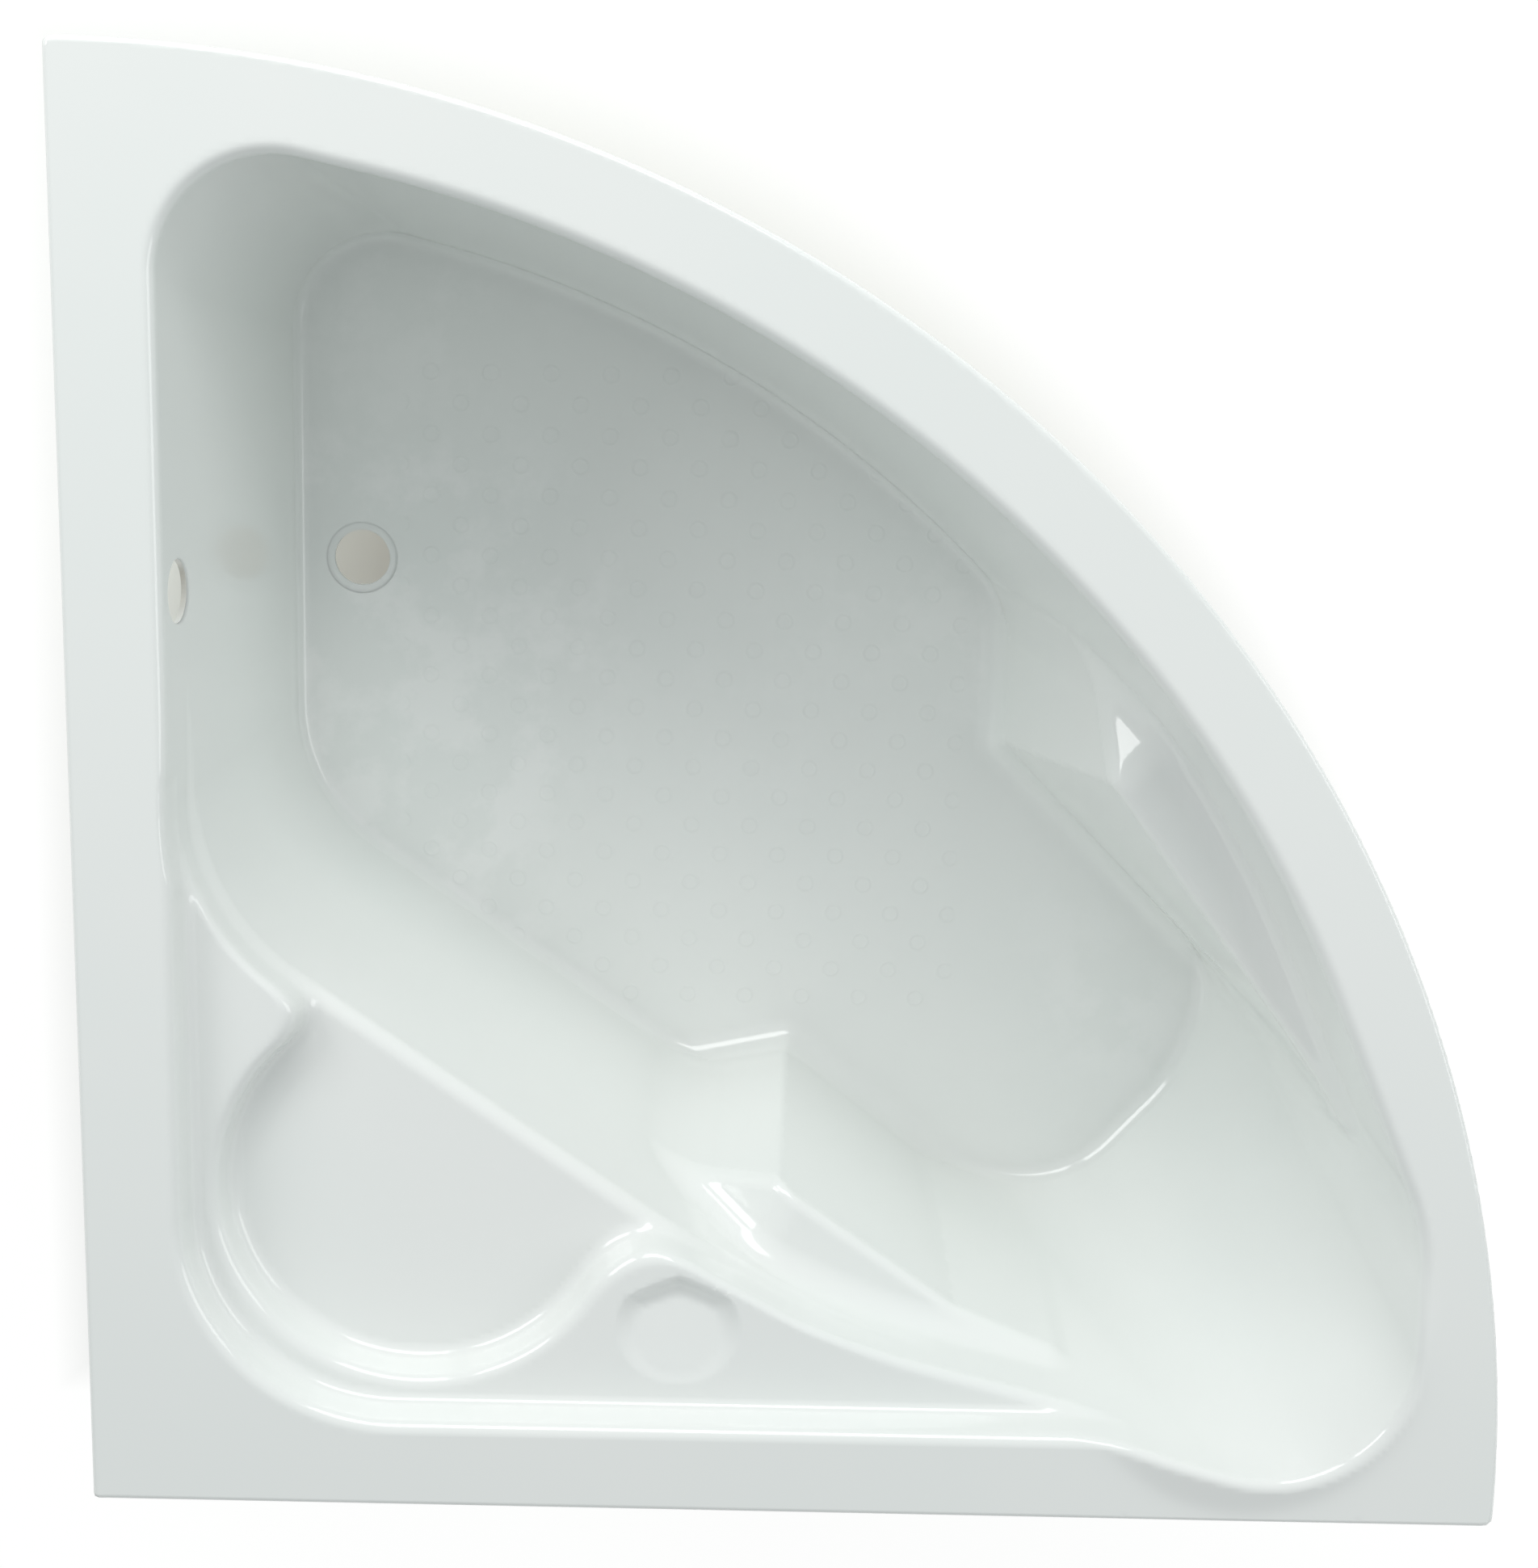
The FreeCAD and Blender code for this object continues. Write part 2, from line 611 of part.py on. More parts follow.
def foot_pad(x, y):
    """Plastic pad with a tapered shoulder and a socket for the rod."""
    base = upright_cylinder(x, y, PAD_R, -RIM_Z, PAD_EDGE - RIM_Z)
    height = PAD_H - PAD_EDGE
    shoulder = Part.makeCone(PAD_SHOULDER_R, PAD_NECK_R, height, place(x, y, PAD_EDGE - RIM_Z))
    socket = upright_cylinder(x, y, ROD_R + FREE, ROD_LOW - RIM_Z, PAD_H + 1 - RIM_Z)
    return base.fuse(shoulder).cut(socket)


def back_batten():
    first, last = BACK_BATTEN
    return box_between(first, -BATTEN_OFF, -SKIN - BATTEN_T, last, -BATTEN_OFF - BATTEN_W, -SKIN)


def left_batten():
    first, last = LEFT_BATTEN
    return box_between(BATTEN_OFF, -first, -SKIN - BATTEN_T, BATTEN_OFF + BATTEN_W, -last, -SKIN)


def corner_block():
    """Plywood gusset that ties the two wall battens together under the rim's corner."""
    cut = GUSSET - GUSSET_CUT
    points = [(BATTEN_OFF, -BATTEN_OFF), (GUSSET, -BATTEN_OFF), (GUSSET, -cut), (cut, -GUSSET)]
    points.append((BATTEN_OFF, -GUSSET))
    face = Part.Face(polygon_wire(points, -SKIN - BATTEN_T))
    return face.extrude(FreeCAD.Vector(0, 0, BATTEN_T))


def front_rail():
    """Curved plywood rail under the bowed front of the rim."""
    low = place(0, 0, -SKIN - BATTEN_T)
    ring = Part.makeCylinder(RAIL_OUT, BATTEN_T, low).cut(Part.makeCylinder(RAIL_IN, BATTEN_T, low))
    points = [(0, 0)]
    for k in range(RAIL_STEPS + 1):
        angle = math.radians(RAIL_FROM + (RAIL_TO - RAIL_FROM) * k / RAIL_STEPS)
        points.append((1.5 * SIDE * math.cos(angle), 1.5 * SIDE * math.sin(angle)))
    plan = Part.Face(polygon_wire(points, -SKIN - BATTEN_T - 1))
    wedge = plan.extrude(FreeCAD.Vector(0, 0, BATTEN_T + 2))
    return ring.common(wedge)


def wall_bracket():
    """Angle bracket drawn for the back wall at x = 0: a leg under the batten, a slotted leg down."""
    z = -SKIN - BATTEN_T
    half = BRACKET_W / 2
    front = -BRACKET_OFF
    flat = box_between(-half, front, z - BRACKET_T, half, front - BRACKET_DEEP, z)
    leg = box_between(-half, front, z - BRACKET_DROP, half, front - BRACKET_T, z)
    mid = z - BRACKET_DROP + SLOT_UP
    reach = (SLOT_LENGTH - SLOT_W) / 2
    deep = BRACKET_OFF + 2 * BRACKET_T
    cutters = [box_between(-reach, -deep, mid - SLOT_W / 2, reach, 0, mid + SLOT_W / 2)]
    for sign in (-1, 1):
        end = place(sign * reach, 0, mid)
        cutters.append(Part.makeCylinder(SLOT_W / 2, deep, end, FreeCAD.Vector(0, -1, 0)))
        cutters.append(upright_cylinder(sign * PILOT_SIDE, -PILOT_DEEP, SMALL_HOLE_R, z - 10, z + 1))
    return flat.fuse(leg).cut(cutters)


def turned_to_left(shape):
    """Move a shape drawn on the back wall to the left wall, keeping its height."""
    corner = place(0, 0, 0)
    moved = shape.copy()
    moved.rotate(corner, FreeCAD.Vector(0, 0, 1), 90)
    return moved


def bracket_on_back(x):
    shape = wall_bracket()
    shape.translate(FreeCAD.Vector(x, 0, 0))
    return shape


def bracket_on_left(y):
    shape = turned_to_left(wall_bracket())
    shape.translate(FreeCAD.Vector(0, y, 0))
    return shape


def back_pilots():
    return [(x + sign * PILOT_SIDE, -PILOT_DEEP) for x in BRACKETS_BACK for sign in (-1, 1)]


def left_pilots():
    return [(PILOT_DEEP, y + sign * PILOT_SIDE) for y in BRACKETS_LEFT for sign in (-1, 1)]


def bracket_screws():
    """Short screws up into the battens."""
    z = -SKIN - BATTEN_T - BRACKET_T
    return Part.makeCompound([small_screw(x, y, z) for x, y in back_pilots() + left_pilots()])


def small_screw(x, y, z):
    head = upright_cylinder(x, y, SMALL_HEAD_R, z - SMALL_HEAD_H, z)
    return head.fuse(upright_cylinder(x, y, SMALL_R, z - SMALL_HEAD_H / 2, z + BRACKET_T + SMALL_BITE))


def batten_with_pilots(batten, places):
    z = -SKIN - BATTEN_T
    radius = SMALL_R + THREAD_FREE
    deep = SMALL_BITE + SCREW_SHORT
    return batten.cut([upright_cylinder(x, y, radius, z - 1, z + deep) for x, y in places])


def write(name, shape):
    shape.exportStep("parts/" + name + ".step")


write("acrylic_shell", acrylic_shell(hollow(0.0), hollow(SKIN)))
write("glassfibre_backing", glassfibre_backing())
write("baseboard", baseboard())
write("back_batten", batten_with_pilots(back_batten(), back_pilots()))
write("left_batten", batten_with_pilots(left_batten(), left_pilots()))
write("corner_gusset", corner_block())
write("front_rail", front_rail())
write("leg_bar_foot_end", leg_bar("foot_end"))
write("leg_bar_backrest", leg_bar("backrest"))
write("leg_bar_corner", leg_bar("corner"))
write("bar_end_caps", end_caps())
write("bar_screws", bar_screws())
write("weld_nuts", weld_nuts())
write("lock_nuts", lock_nuts())
for number, spot in enumerate(all_feet(), 1):
    write("foot_rod_%d" % number, foot_rod(spot[0], spot[1]))
    write("foot_pad_%d" % number, foot_pad(spot[0], spot[1]))
write("wall_bracket_back_1", bracket_on_back(BRACKETS_BACK[0]))
write("wall_bracket_back_2", bracket_on_back(BRACKETS_BACK[1]))
write("wall_bracket_left_1", bracket_on_left(BRACKETS_LEFT[0]))
write("wall_bracket_left_2", bracket_on_left(BRACKETS_LEFT[1]))
write("bracket_screws", bracket_screws())
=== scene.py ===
import json
import math

import bpy
import numpy as np
from mathutils import Matrix, Vector


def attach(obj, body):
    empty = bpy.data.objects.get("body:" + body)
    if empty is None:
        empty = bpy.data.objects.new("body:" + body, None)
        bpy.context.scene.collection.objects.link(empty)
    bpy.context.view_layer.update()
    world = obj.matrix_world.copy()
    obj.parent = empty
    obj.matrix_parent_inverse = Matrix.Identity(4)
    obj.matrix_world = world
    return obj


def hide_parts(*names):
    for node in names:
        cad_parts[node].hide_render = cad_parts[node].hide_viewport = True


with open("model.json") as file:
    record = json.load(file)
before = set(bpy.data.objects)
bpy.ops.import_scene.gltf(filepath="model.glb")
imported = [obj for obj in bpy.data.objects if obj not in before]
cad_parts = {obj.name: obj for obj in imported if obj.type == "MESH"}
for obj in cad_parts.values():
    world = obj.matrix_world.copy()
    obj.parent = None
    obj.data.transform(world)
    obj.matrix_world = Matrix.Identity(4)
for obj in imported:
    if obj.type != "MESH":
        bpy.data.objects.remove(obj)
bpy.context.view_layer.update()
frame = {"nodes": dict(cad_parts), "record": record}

MM = 0.001
ORIGIN = np.array([-600.0, 600.0, 570.0])      # wall corner of the rim's top face in the frame, mm

# Sizes of the moulding in mm, from the wall corner of the rim's top face: x along one wall side,
# y negative along the other, z negative downwards. Roundings end in _R or _ROLL.
SIDE = 1200.0
DEPTH = 400.0                                  # rim to bath floor
LIP = 38.0                                     # height of the turned-down lip
LIP_EDGE_R = 5.0
TIP_R = 7.0                                    # where the bowed front meets the wall sides
CORNER_R = 4.0                                 # wall corner
RIM_ROLL = 9.0                                 # from the rim into the basin
FLOOR_R = 12.0
ARM_DEPTH = 105.0                              # rim to the armrests' tops
ARM_SLOPE = math.radians(37.0)
ARM_ROLL = 9.0
ARM_FOOT_R = 24.0
TRAY_DEPTH = 35.0                              # rim to the ledge
TRAY_DRAFT = 8.0 / 35.0
TRAY_FLOOR_R = 8.0
TRAY_ROLL = 9.0
SHELF = (272.0, -276.0, 172.0)                 # centre and radius of the round shelf
SHELF_DEPTH = 70.0
SHELF_DRAFT = 9.0 / 35.0
SHELF_FLOOR_R = 9.0
SHELF_ROLL = 13.0
FLARE_R = (78.0, 50.0)                         # rounding of the ledge's low and high tip
FLARE_Y = (-400.0, -300.0)
SHELF_FADE = (350.0, 500.0)                    # where the basin's edge is no longer the shelf's
SHELF_APART = 16.0                             # how far apart the two are held beyond it
BUMP = (160.0, -985.0, 150.0, 489.5)           # headrest: centre, radius at the rim, ball radius
BUMP_SOFT = 3.0                                # softness of its foot
DISH = (152.0, -499.0)                         # centre of the soap dish
DISH_R = 52.0
DISH_TIP = 49.0                                # centre to its pointed end
DISH_DEPTH = 11.0
DISH_LOWEST = 14.0                             # from the pointed end to its full depth
DISH_FLANK = math.radians(24.0)
DISH_FLANK_R = 5.0
DISH_POINT_R = 2.0
DISH_DRAFT = 1.2
DISH_FLOOR_R = 9.0
DISH_FALL = 0.125                              # slope of its floor
DISH_REACH = 3.0                               # how far its walls run on over the ledge
DISH_ROLL = 3.0
CELL = 5.0                                     # grid of the moulding's mesh

# Outlines, one row per corner: x, y and rounding. The basin has one at the rim and one at the floor.
BASIN_TOP = np.array([
    (500.8, -78.0, 200.0), (1139.7, -78.0, 93.0), (986.5, -798.9, 1131.0), (260.5, -1122.0, 200.0),
    (42.0, -1122.0, 112.0), (42.0, -986.6, 150.0), (132.8, -647.9, 600.0), (225.0, -479.4, 600.0),
])
BASIN_LOW = np.array([
    (538.3, -127.0, 170.0), (1090.7, -127.0, 88.0), (949.9, -691.4, 1089.0), (470.0, -990.0, 300.0),
    (325.0, -1036.0, 190.0), (150.0, -886.0, 120.0), (180.0, -668.0, 500.0), (276.4, -508.0, 500.0),
])
TRAY = np.array([
    (74.5, -79.0, 180.0), (640.0, -79.0, 20.0), (640.0, -300.0, 20.0), (200.0, -900.0, 20.0),
    (74.5, -900.0, 20.0),
])

# Armrests: outline at the top and at the floor, a point on the sloped end's crest, its direction.
ARM_LEFT = (
    np.array([(256.6, -583.5), (145.0, -744.6), (105.0, -830.0), (-60.0, -850.0), (-60.0, -420.0),
              (229.0, -452.0)]),
    np.array([(298.0, -603.0), (185.0, -747.8), (120.0, -840.0), (-60.0, -850.0), (-60.0, -420.0),
              (264.8, -446.0)]),
    (247.9, -596.1), (0.470, 0.882),
)
ARM_RIGHT = (
    np.array([(622.0, -857.0), (900.0, -857.0), (960.0, -1000.0), (700.0, -1260.0), (320.0, -1084.0),
              (390.8, -1030.2)]),
    np.array([(603.0, -797.0), (900.0, -797.0), (960.0, -1000.0), (700.0, -1260.0), (335.0, -1085.0),
              (407.0, -997.0)]),
    (618.4, -858.7), (0.643, 0.766),
)


def join(a, b, r):
    """Union of two spaces with a rolled edge of radius r."""
    u = np.maximum(r - a, 0.0)
    v = np.maximum(r - b, 0.0)
    return np.maximum(r, np.minimum(a, b)) - np.hypot(u, v)


def meet(a, b, r):
    """Part common to two spaces, its edge filleted with radius r."""
    u = np.maximum(r + a, 0.0)
    v = np.maximum(r + b, 0.0)
    return np.minimum(-r, np.maximum(a, b)) + np.hypot(u, v)


def rounded_plan(x, y, corners):
    """Distance to a convex clockwise outline with rounded corners; corners is (K, 3) or (N, K, 3)."""
    c = np.broadcast_to(corners, x.shape + corners.shape[-2:])
    px, py, r = c[..., 0], c[..., 1], c[..., 2]
    ex = np.roll(px, -1, -1) - px
    ey = np.roll(py, -1, -1) - py
    n = np.hypot(ex, ey)
    nx, ny = -ey / n, ex / n                      # outward normal of the side that leaves each corner
    side = (x[..., None] - px) * nx + (y[..., None] - py) * ny
    mx, my = np.roll(nx, 1, -1), np.roll(ny, 1, -1)
    k = r / (1.0 + nx * mx + ny * my)
    cx = px - (nx + mx) * k
    cy = py - (ny + my) * k
    vx = x[..., None] - cx
    vy = y[..., None] - cy
    after = mx * vy - my * vx                     # beyond the incoming side's normal
    before = nx * vy - ny * vx
    inside = (after <= 0) & (before >= 0)
    arc = np.where(inside, np.hypot(vx, vy) - r, -1e9)
    return np.maximum(side.max(-1), arc.max(-1))


def polygon(x, y, corners):
    """Distance to a straight-sided outline of any shape."""
    c = np.broadcast_to(corners, x.shape + corners.shape[-2:])
    px, py = c[..., 0], c[..., 1]
    qx, qy = np.roll(px, 1, -1), np.roll(py, 1, -1)
    ex, ey = qx - px, qy - py
    wx, wy = x[..., None] - px, y[..., None] - py
    t = np.clip((wx * ex + wy * ey) / (ex * ex + ey * ey), 0, 1)
    d = np.hypot(wx - ex * t, wy - ey * t).min(-1)
    up = y[..., None] >= py
    down = y[..., None] < qy
    turn = ex * wy > ey * wx
    flips = (up & down & turn) | (~up & ~down & ~turn)
    return np.where(flips.sum(-1) % 2 == 1, -d, d)


def at_depth(top, low, z, first=0.0):
    """Outline at height z, between the one at depth first and the one at the bath floor."""
    t = (-z - first) / (DEPTH - first)
    return top + (low - top) * np.asarray(t)[..., None, None]


def inset(corners, by):
    """Move the sides of a clockwise outline inwards."""
    p = corners[..., :2]
    e = np.roll(p, -1, -2) - p
    n = np.hypot(e[..., 0], e[..., 1])[..., None]
    out = np.stack([-e[..., 1], e[..., 0]], -1) / n
    before = np.roll(out, 1, -2)
    k = by / (1.0 + (out * before).sum(-1))
    return p - (out + before) * k[..., None]


def arm(x, y, z, parts):
    """Below zero in an armrest: flat top, leaning sides and one sloped end."""
    top, low, crest, way = parts
    levels = np.clip(z, -DEPTH, 0.0)
    outline = at_depth(inset(top, ARM_ROLL), inset(low, ARM_ROLL), levels, ARM_DEPTH)
    plan = polygon(x, y, outline) - ARM_ROLL
    body = meet(plan, z + ARM_DEPTH, ARM_ROLL)
    run = (x - crest[0]) * way[0] + (y - crest[1]) * way[1]
    slope = run * math.sin(ARM_SLOPE) + (z + ARM_DEPTH) * math.cos(ARM_SLOPE)
    return meet(body, slope, ARM_ROLL)


def soap_dish(x, y, z):
    """Round hollow, steep at its pointed end towards the basin and shallow opposite it."""
    along = x - DISH[0]
    across = np.sqrt((y - DISH[1]) ** 2 + DISH_POINT_R ** 2)
    plan = np.hypot(along, y - DISH[1]) - DISH_R
    cos, sin = math.cos(DISH_FLANK), math.sin(DISH_FLANK)
    flank = along * cos + across * sin - DISH_TIP * cos
    plan = meet(plan, flank, DISH_FLANK_R)
    floor = -TRAY_DEPTH - DISH_DEPTH + (DISH_TIP - DISH_LOWEST - along) * DISH_FALL - z
    hollow = meet(plan - (z + TRAY_DEPTH) * DISH_DRAFT, floor, DISH_FLOOR_R)
    return np.maximum(hollow, z + TRAY_DEPTH - DISH_REACH)


def field(x, y, z):
    """Below zero in the air over the bath, above zero in the moulding."""
    basin_plan = rounded_plan(x, y, at_depth(BASIN_TOP, BASIN_LOW, z))
    basin = meet(basin_plan, -DEPTH - z, FLOOR_R)
    basin = meet(basin, -arm(x, y, z, ARM_LEFT), ARM_FOOT_R)
    basin = meet(basin, -arm(x, y, z, ARM_RIGHT), ARM_FOOT_R)
    tray = rounded_plan(x, y, TRAY) - z * TRAY_DRAFT
    tray = meet(tray, -TRAY_DEPTH - z, TRAY_FLOOR_R)
    away = np.hypot(x - SHELF[0], y - SHELF[1])
    cone = away - SHELF[2] - (z + TRAY_DEPTH) * SHELF_DRAFT
    flare = np.interp(y, FLARE_Y, FLARE_R)
    shelf = meet(join(cone, basin_plan, flare), -SHELF_DEPTH - z, SHELF_FLOOR_R)
    shelf = shelf + np.interp(away, SHELF_FADE, (0.0, SHELF_APART))
    dish = soap_dish(x, y, z)
    low = join(join(basin, shelf, SHELF_ROLL), tray, TRAY_ROLL)
    low = join(low, dish, DISH_ROLL)
    reach = np.hypot(x - BUMP[0], y - BUMP[1])
    base = math.sqrt(BUMP[3] ** 2 - BUMP[2] ** 2)
    dome = np.sqrt(np.maximum(BUMP[3] ** 2 - reach ** 2, 0.0)) - base
    rise = 0.5 * (dome + np.sqrt(dome ** 2 + BUMP_SOFT ** 2))
    above = rise - z
    sector = meet(meet(-x, y, CORNER_R), np.hypot(x, y) - SIDE, TIP_R)
    return join(join(above, -sector, LIP_EDGE_R), low, RIM_ROLL)


def net(cell):
    """Quads over the zero surface of the field, one point in each grid cell that it crosses."""
    gx = np.arange(-2 * cell - cell / 2, SIDE + 3 * cell, cell)
    gy = np.arange(-SIDE - 3 * cell + cell / 2, 3 * cell, cell)
    z0 = -LIP + cell / 2
    gz = z0 + cell * np.arange(-math.ceil((DEPTH + 10 - LIP) / cell), math.ceil((LIP + 16) / cell))
    X, Y = np.meshgrid(gx, gy, indexing="ij")
    V = np.empty((len(gx), len(gy), len(gz)), np.float32)
    for k, z in enumerate(gz):
        V[:, :, k] = field(X, Y, np.float64(z))
    inside = V > 0
    nx, ny, nz = V.shape
    count = np.zeros((nx - 1, ny - 1, nz - 1), np.int8)
    total = np.zeros((nx - 1, ny - 1, nz - 1, 3), np.float32)
    steps = np.array([(0, 0, 0), (0, 0, 1), (0, 1, 0), (0, 1, 1),
                      (1, 0, 0), (1, 0, 1), (1, 1, 0), (1, 1, 1)])

    def corner(a, s):
        return a[s[0]:nx - 1 + s[0], s[1]:ny - 1 + s[1], s[2]:nz - 1 + s[2]]

    edges = []
    for i in range(8):
        for j in range(i + 1, 8):
            if np.abs(steps[i] - steps[j]).sum() == 1:
                edges.append((i, j))
    for i, j in edges:
        a, b = corner(V, steps[i]), corner(V, steps[j])
        cross = (a > 0) != (b > 0)
        t = np.where(cross, a / np.where(cross, a - b, 1), 0)
        count += cross
        for axis in range(3):
            total[..., axis] += np.where(cross, steps[i][axis] + t * (steps[j] - steps[i])[axis], 0)
    live = count > 0
    index = np.full(live.shape, -1, np.int64)
    index[live] = np.arange(live.sum())
    where = np.argwhere(live)
    at = where + total[live] / count[live][:, None]
    verts = np.stack([gx[0] + at[:, 0] * cell, gy[0] + at[:, 1] * cell, gz[0] + at[:, 2] * cell], 1)
    quads = []
    for axis in range(3):
        u, w = (axis + 1) % 3, (axis + 2) % 3
        first = [slice(1, -1)] * 3
        first[axis] = slice(0, -1)
        second = [slice(1, -1)] * 3
        second[axis] = slice(1, None)
        a, b = inside[tuple(first)], inside[tuple(second)]
        cross = np.argwhere(a != b)
        flip = a[tuple(cross.T)]
        cross = cross + 1
        cross[:, axis] -= 1
        c = []
        for du, dw in ((1, 1), (0, 1), (0, 0), (1, 0)):
            p = cross.copy()
            p[:, u] -= du
            p[:, w] -= dw
            c.append(index[tuple(p.T)])
        q = np.stack(c, 1)
        q[~flip] = q[~flip][:, ::-1]
        quads.append(q)
    return verts, np.concatenate(quads)


def normals(p, step=0.05):
    """The field at some points, its unit normals towards the air, and its slope there."""
    f = field(p[:, 0], p[:, 1], p[:, 2])
    g = np.empty_like(p)
    for axis in range(3):
        q = p.copy()
        q[:, axis] += step
        g[:, axis] = (field(q[:, 0], q[:, 1], q[:, 2]) - f) / step
    size = np.linalg.norm(g, axis=1)
    return f, -g / size[:, None], size


def settle(p, rounds=3, limit=3.0):
    """Move points onto the zero surface."""
    for _ in range(rounds):
        f, n, size = normals(p)
        move = np.clip(f / size, -limit, limit)
        p = p + n * move[:, None]
    return p


# ------------------------------------------------------------------ the moulding as one closed skin
WASTE = (767.0, -187.0, -DEPTH)
BACK_EDGE = -78.0                              # basin's edge at the back wall side
BACK_RUN = 49.0                                # how far that wall leans inwards on its way down
OVERFLOW_DOWN = 48.0
OVERFLOW_LEAN = math.atan(BACK_RUN / DEPTH)
OVERFLOW = (777.0, BACK_EDGE - OVERFLOW_DOWN * math.tan(OVERFLOW_LEAN), -OVERFLOW_DOWN)
OVERFLOW_AXIS = (0.0, -math.cos(OVERFLOW_LEAN), math.sin(OVERFLOW_LEAN))
UP = (0.0, 0.0, 1.0)
HOLE_R = 26.0
HOLE_REACH = 12.0                              # faces this near a hole's plane belong to it
SKIN_T = 4.5
BACK_IN = 5.0                                  # glassfibre, from the face of the moulding
BACK_OUT = 8.3
BACK_EDGE_IN = 25.0                            # where it stops: from the outline, and below the rim
BACK_BELOW = 7.0
OUTLINE_BAND = 1.5                             # faces of the lip lie this near the outline
LIP_CUT = 0.2

# Holes as rings of radius and depth below the face, from the face inwards.
WASTE_RINGS = [
    (42.0, 0.0), (34.6, 0.0), (33.9, 0.25), (33.5, 1.0), (33.4, 2.2), (32.6, 2.5), (27.2, 2.5),
    (26.3, 2.8), (HOLE_R, 3.6),
]
OVERFLOW_RINGS = [(36.0, 0.0), (28.6, 0.0), (27.2, 0.35), (26.3, 1.2), (HOLE_R, 2.4)]
BACKING_WASTE_RINGS = [(44.0, 0.0), (32.0, 0.0)]
BACKING_OVERFLOW_RINGS = [(37.0, 0.0), (32.0, 0.0)]


def sector_distance(p):
    """Distance to the bath's outline: two wall sides and the bowed front."""
    return meet(meet(-p[:, 0], p[:, 1], CORNER_R), np.hypot(p[:, 0], p[:, 1]) - SIDE, TIP_R)


def boundary_edges(quads):
    """Directed edges that only one quad uses."""
    a = quads.ravel()
    b = np.roll(quads, -1, axis=1).ravel()
    big = int(quads.max()) + 1
    codes = a * big + b
    back = b * big + a
    lone = ~np.isin(codes, back)
    return np.stack([a[lone], b[lone]], 1)


def pierce(verts, norms, quads, centre, axis, rings):
    """Cut a round hole; rings are (radius, depth below the face), the first joins the face."""
    centre = np.array(centre)
    axis = np.array(axis)
    rel = verts - centre
    along = rel @ axis
    radial = np.linalg.norm(rel - along[:, None] * axis, axis=1)
    near = (radial[quads].mean(1) < rings[0][0]) & (np.abs(along[quads]).max(1) < HOLE_REACH)
    gone = quads[near]
    quads = quads[~near]
    rim = boundary_edges(gone)
    ids = np.unique(rim)
    lookup = np.full(len(verts), -1)
    lookup[ids] = np.arange(len(ids))
    spoke = rel[ids] - along[ids][:, None] * axis
    spoke /= np.linalg.norm(spoke, axis=1)[:, None]
    verts = verts.copy()
    norms = norms.copy()
    verts[ids] = centre + spoke * rings[0][0]
    norms[ids] = axis
    layer = ids
    for k in range(1, len(rings)):
        radius, drop = rings[k]
        fresh = np.arange(len(ids)) + len(verts)
        verts = np.concatenate([verts, centre + spoke * radius - axis * drop])
        norms = np.concatenate([norms, np.tile(axis, (len(ids), 1))])
        i, j = lookup[rim[:, 0]], lookup[rim[:, 1]]
        quads = np.concatenate([quads, np.stack([layer[i], layer[j], fresh[j], fresh[i]], 1)])
        layer = fresh
    return verts, norms, quads


def compact(verts, norms, quads):
    """Drop the points that no quad uses."""
    used = np.unique(quads)
    remap = np.full(len(verts), -1)
    remap[used] = np.arange(len(used))
    return verts[used], norms[used], remap[quads]


def thick_skin(verts, norms, quads, near, far):
    """Closed skin between two distances behind the sheet, with its normals per face corner."""
    count = len(verts)
    rim = boundary_edges(quads)
    points = np.concatenate([verts - norms * near, verts - norms * far])
    sides = np.stack([rim[:, 1], rim[:, 0], rim[:, 0] + count, rim[:, 1] + count], 1)
    faces = np.concatenate([quads, quads[:, ::-1] + count, sides])
    corner = np.concatenate([norms[quads], -norms[quads[:, ::-1]], flat_normals(points, sides)])
    return points, faces, corner


def build_mesh(name, points, faces, corner):
    """New piece from points in mm, quads and a normal for each face corner."""
    mesh = bpy.data.meshes.new(name)
    mesh.vertices.add(len(points))
    mesh.vertices.foreach_set("co", ((points + ORIGIN) * MM).astype(np.float32).ravel())
    mesh.loops.add(faces.size)
    mesh.loops.foreach_set("vertex_index", faces.astype(np.int32).ravel())
    mesh.polygons.add(len(faces))
    mesh.polygons.foreach_set("loop_start", np.arange(0, faces.size, faces.shape[1], dtype=np.int32))
    mesh.polygons.foreach_set("loop_total", np.full(len(faces), faces.shape[1], np.int32))
    mesh.polygons.foreach_set("use_smooth", np.ones(len(faces), bool))
    mesh.update(calc_edges=True)
    mesh.normals_split_custom_set(corner.reshape(-1, 3).tolist())
    piece = bpy.data.objects.new(name, mesh)
    bpy.context.scene.collection.objects.link(piece)
    return piece


FEET = [(390.0, -103.0), (1016.0, -534.0), (75.0, -624.0), (602.0, -987.0), (130.0, -130.0)]
ROD = (6.0, 162.0)                             # ends of a foot rod above the floor
ROD_R = 6.0
ROD_CHAMFER = 1.6
THREAD_DEEP = 0.95
PITCH = 1.75
PITCH_ROWS = 4
TURN_STEPS = 24
DRIVE_HEX = (15.0, 22.0, 17.0)                 # its turning hexagon: low, high, width over flats
HEX_BEVEL = (0.6, 0.5)                         # bevel of the hexagon, in and along
HEX_SIDES = 6


def tube_faces(rows, around, start):
    """Quads between successive rings of points."""
    k, a = np.meshgrid(np.arange(rows - 1), np.arange(around), indexing="ij")
    b = (a + 1) % around
    low = start + k * around
    return np.stack([low + a, low + b, low + around + b, low + around + a], -1).reshape(-1, 4)


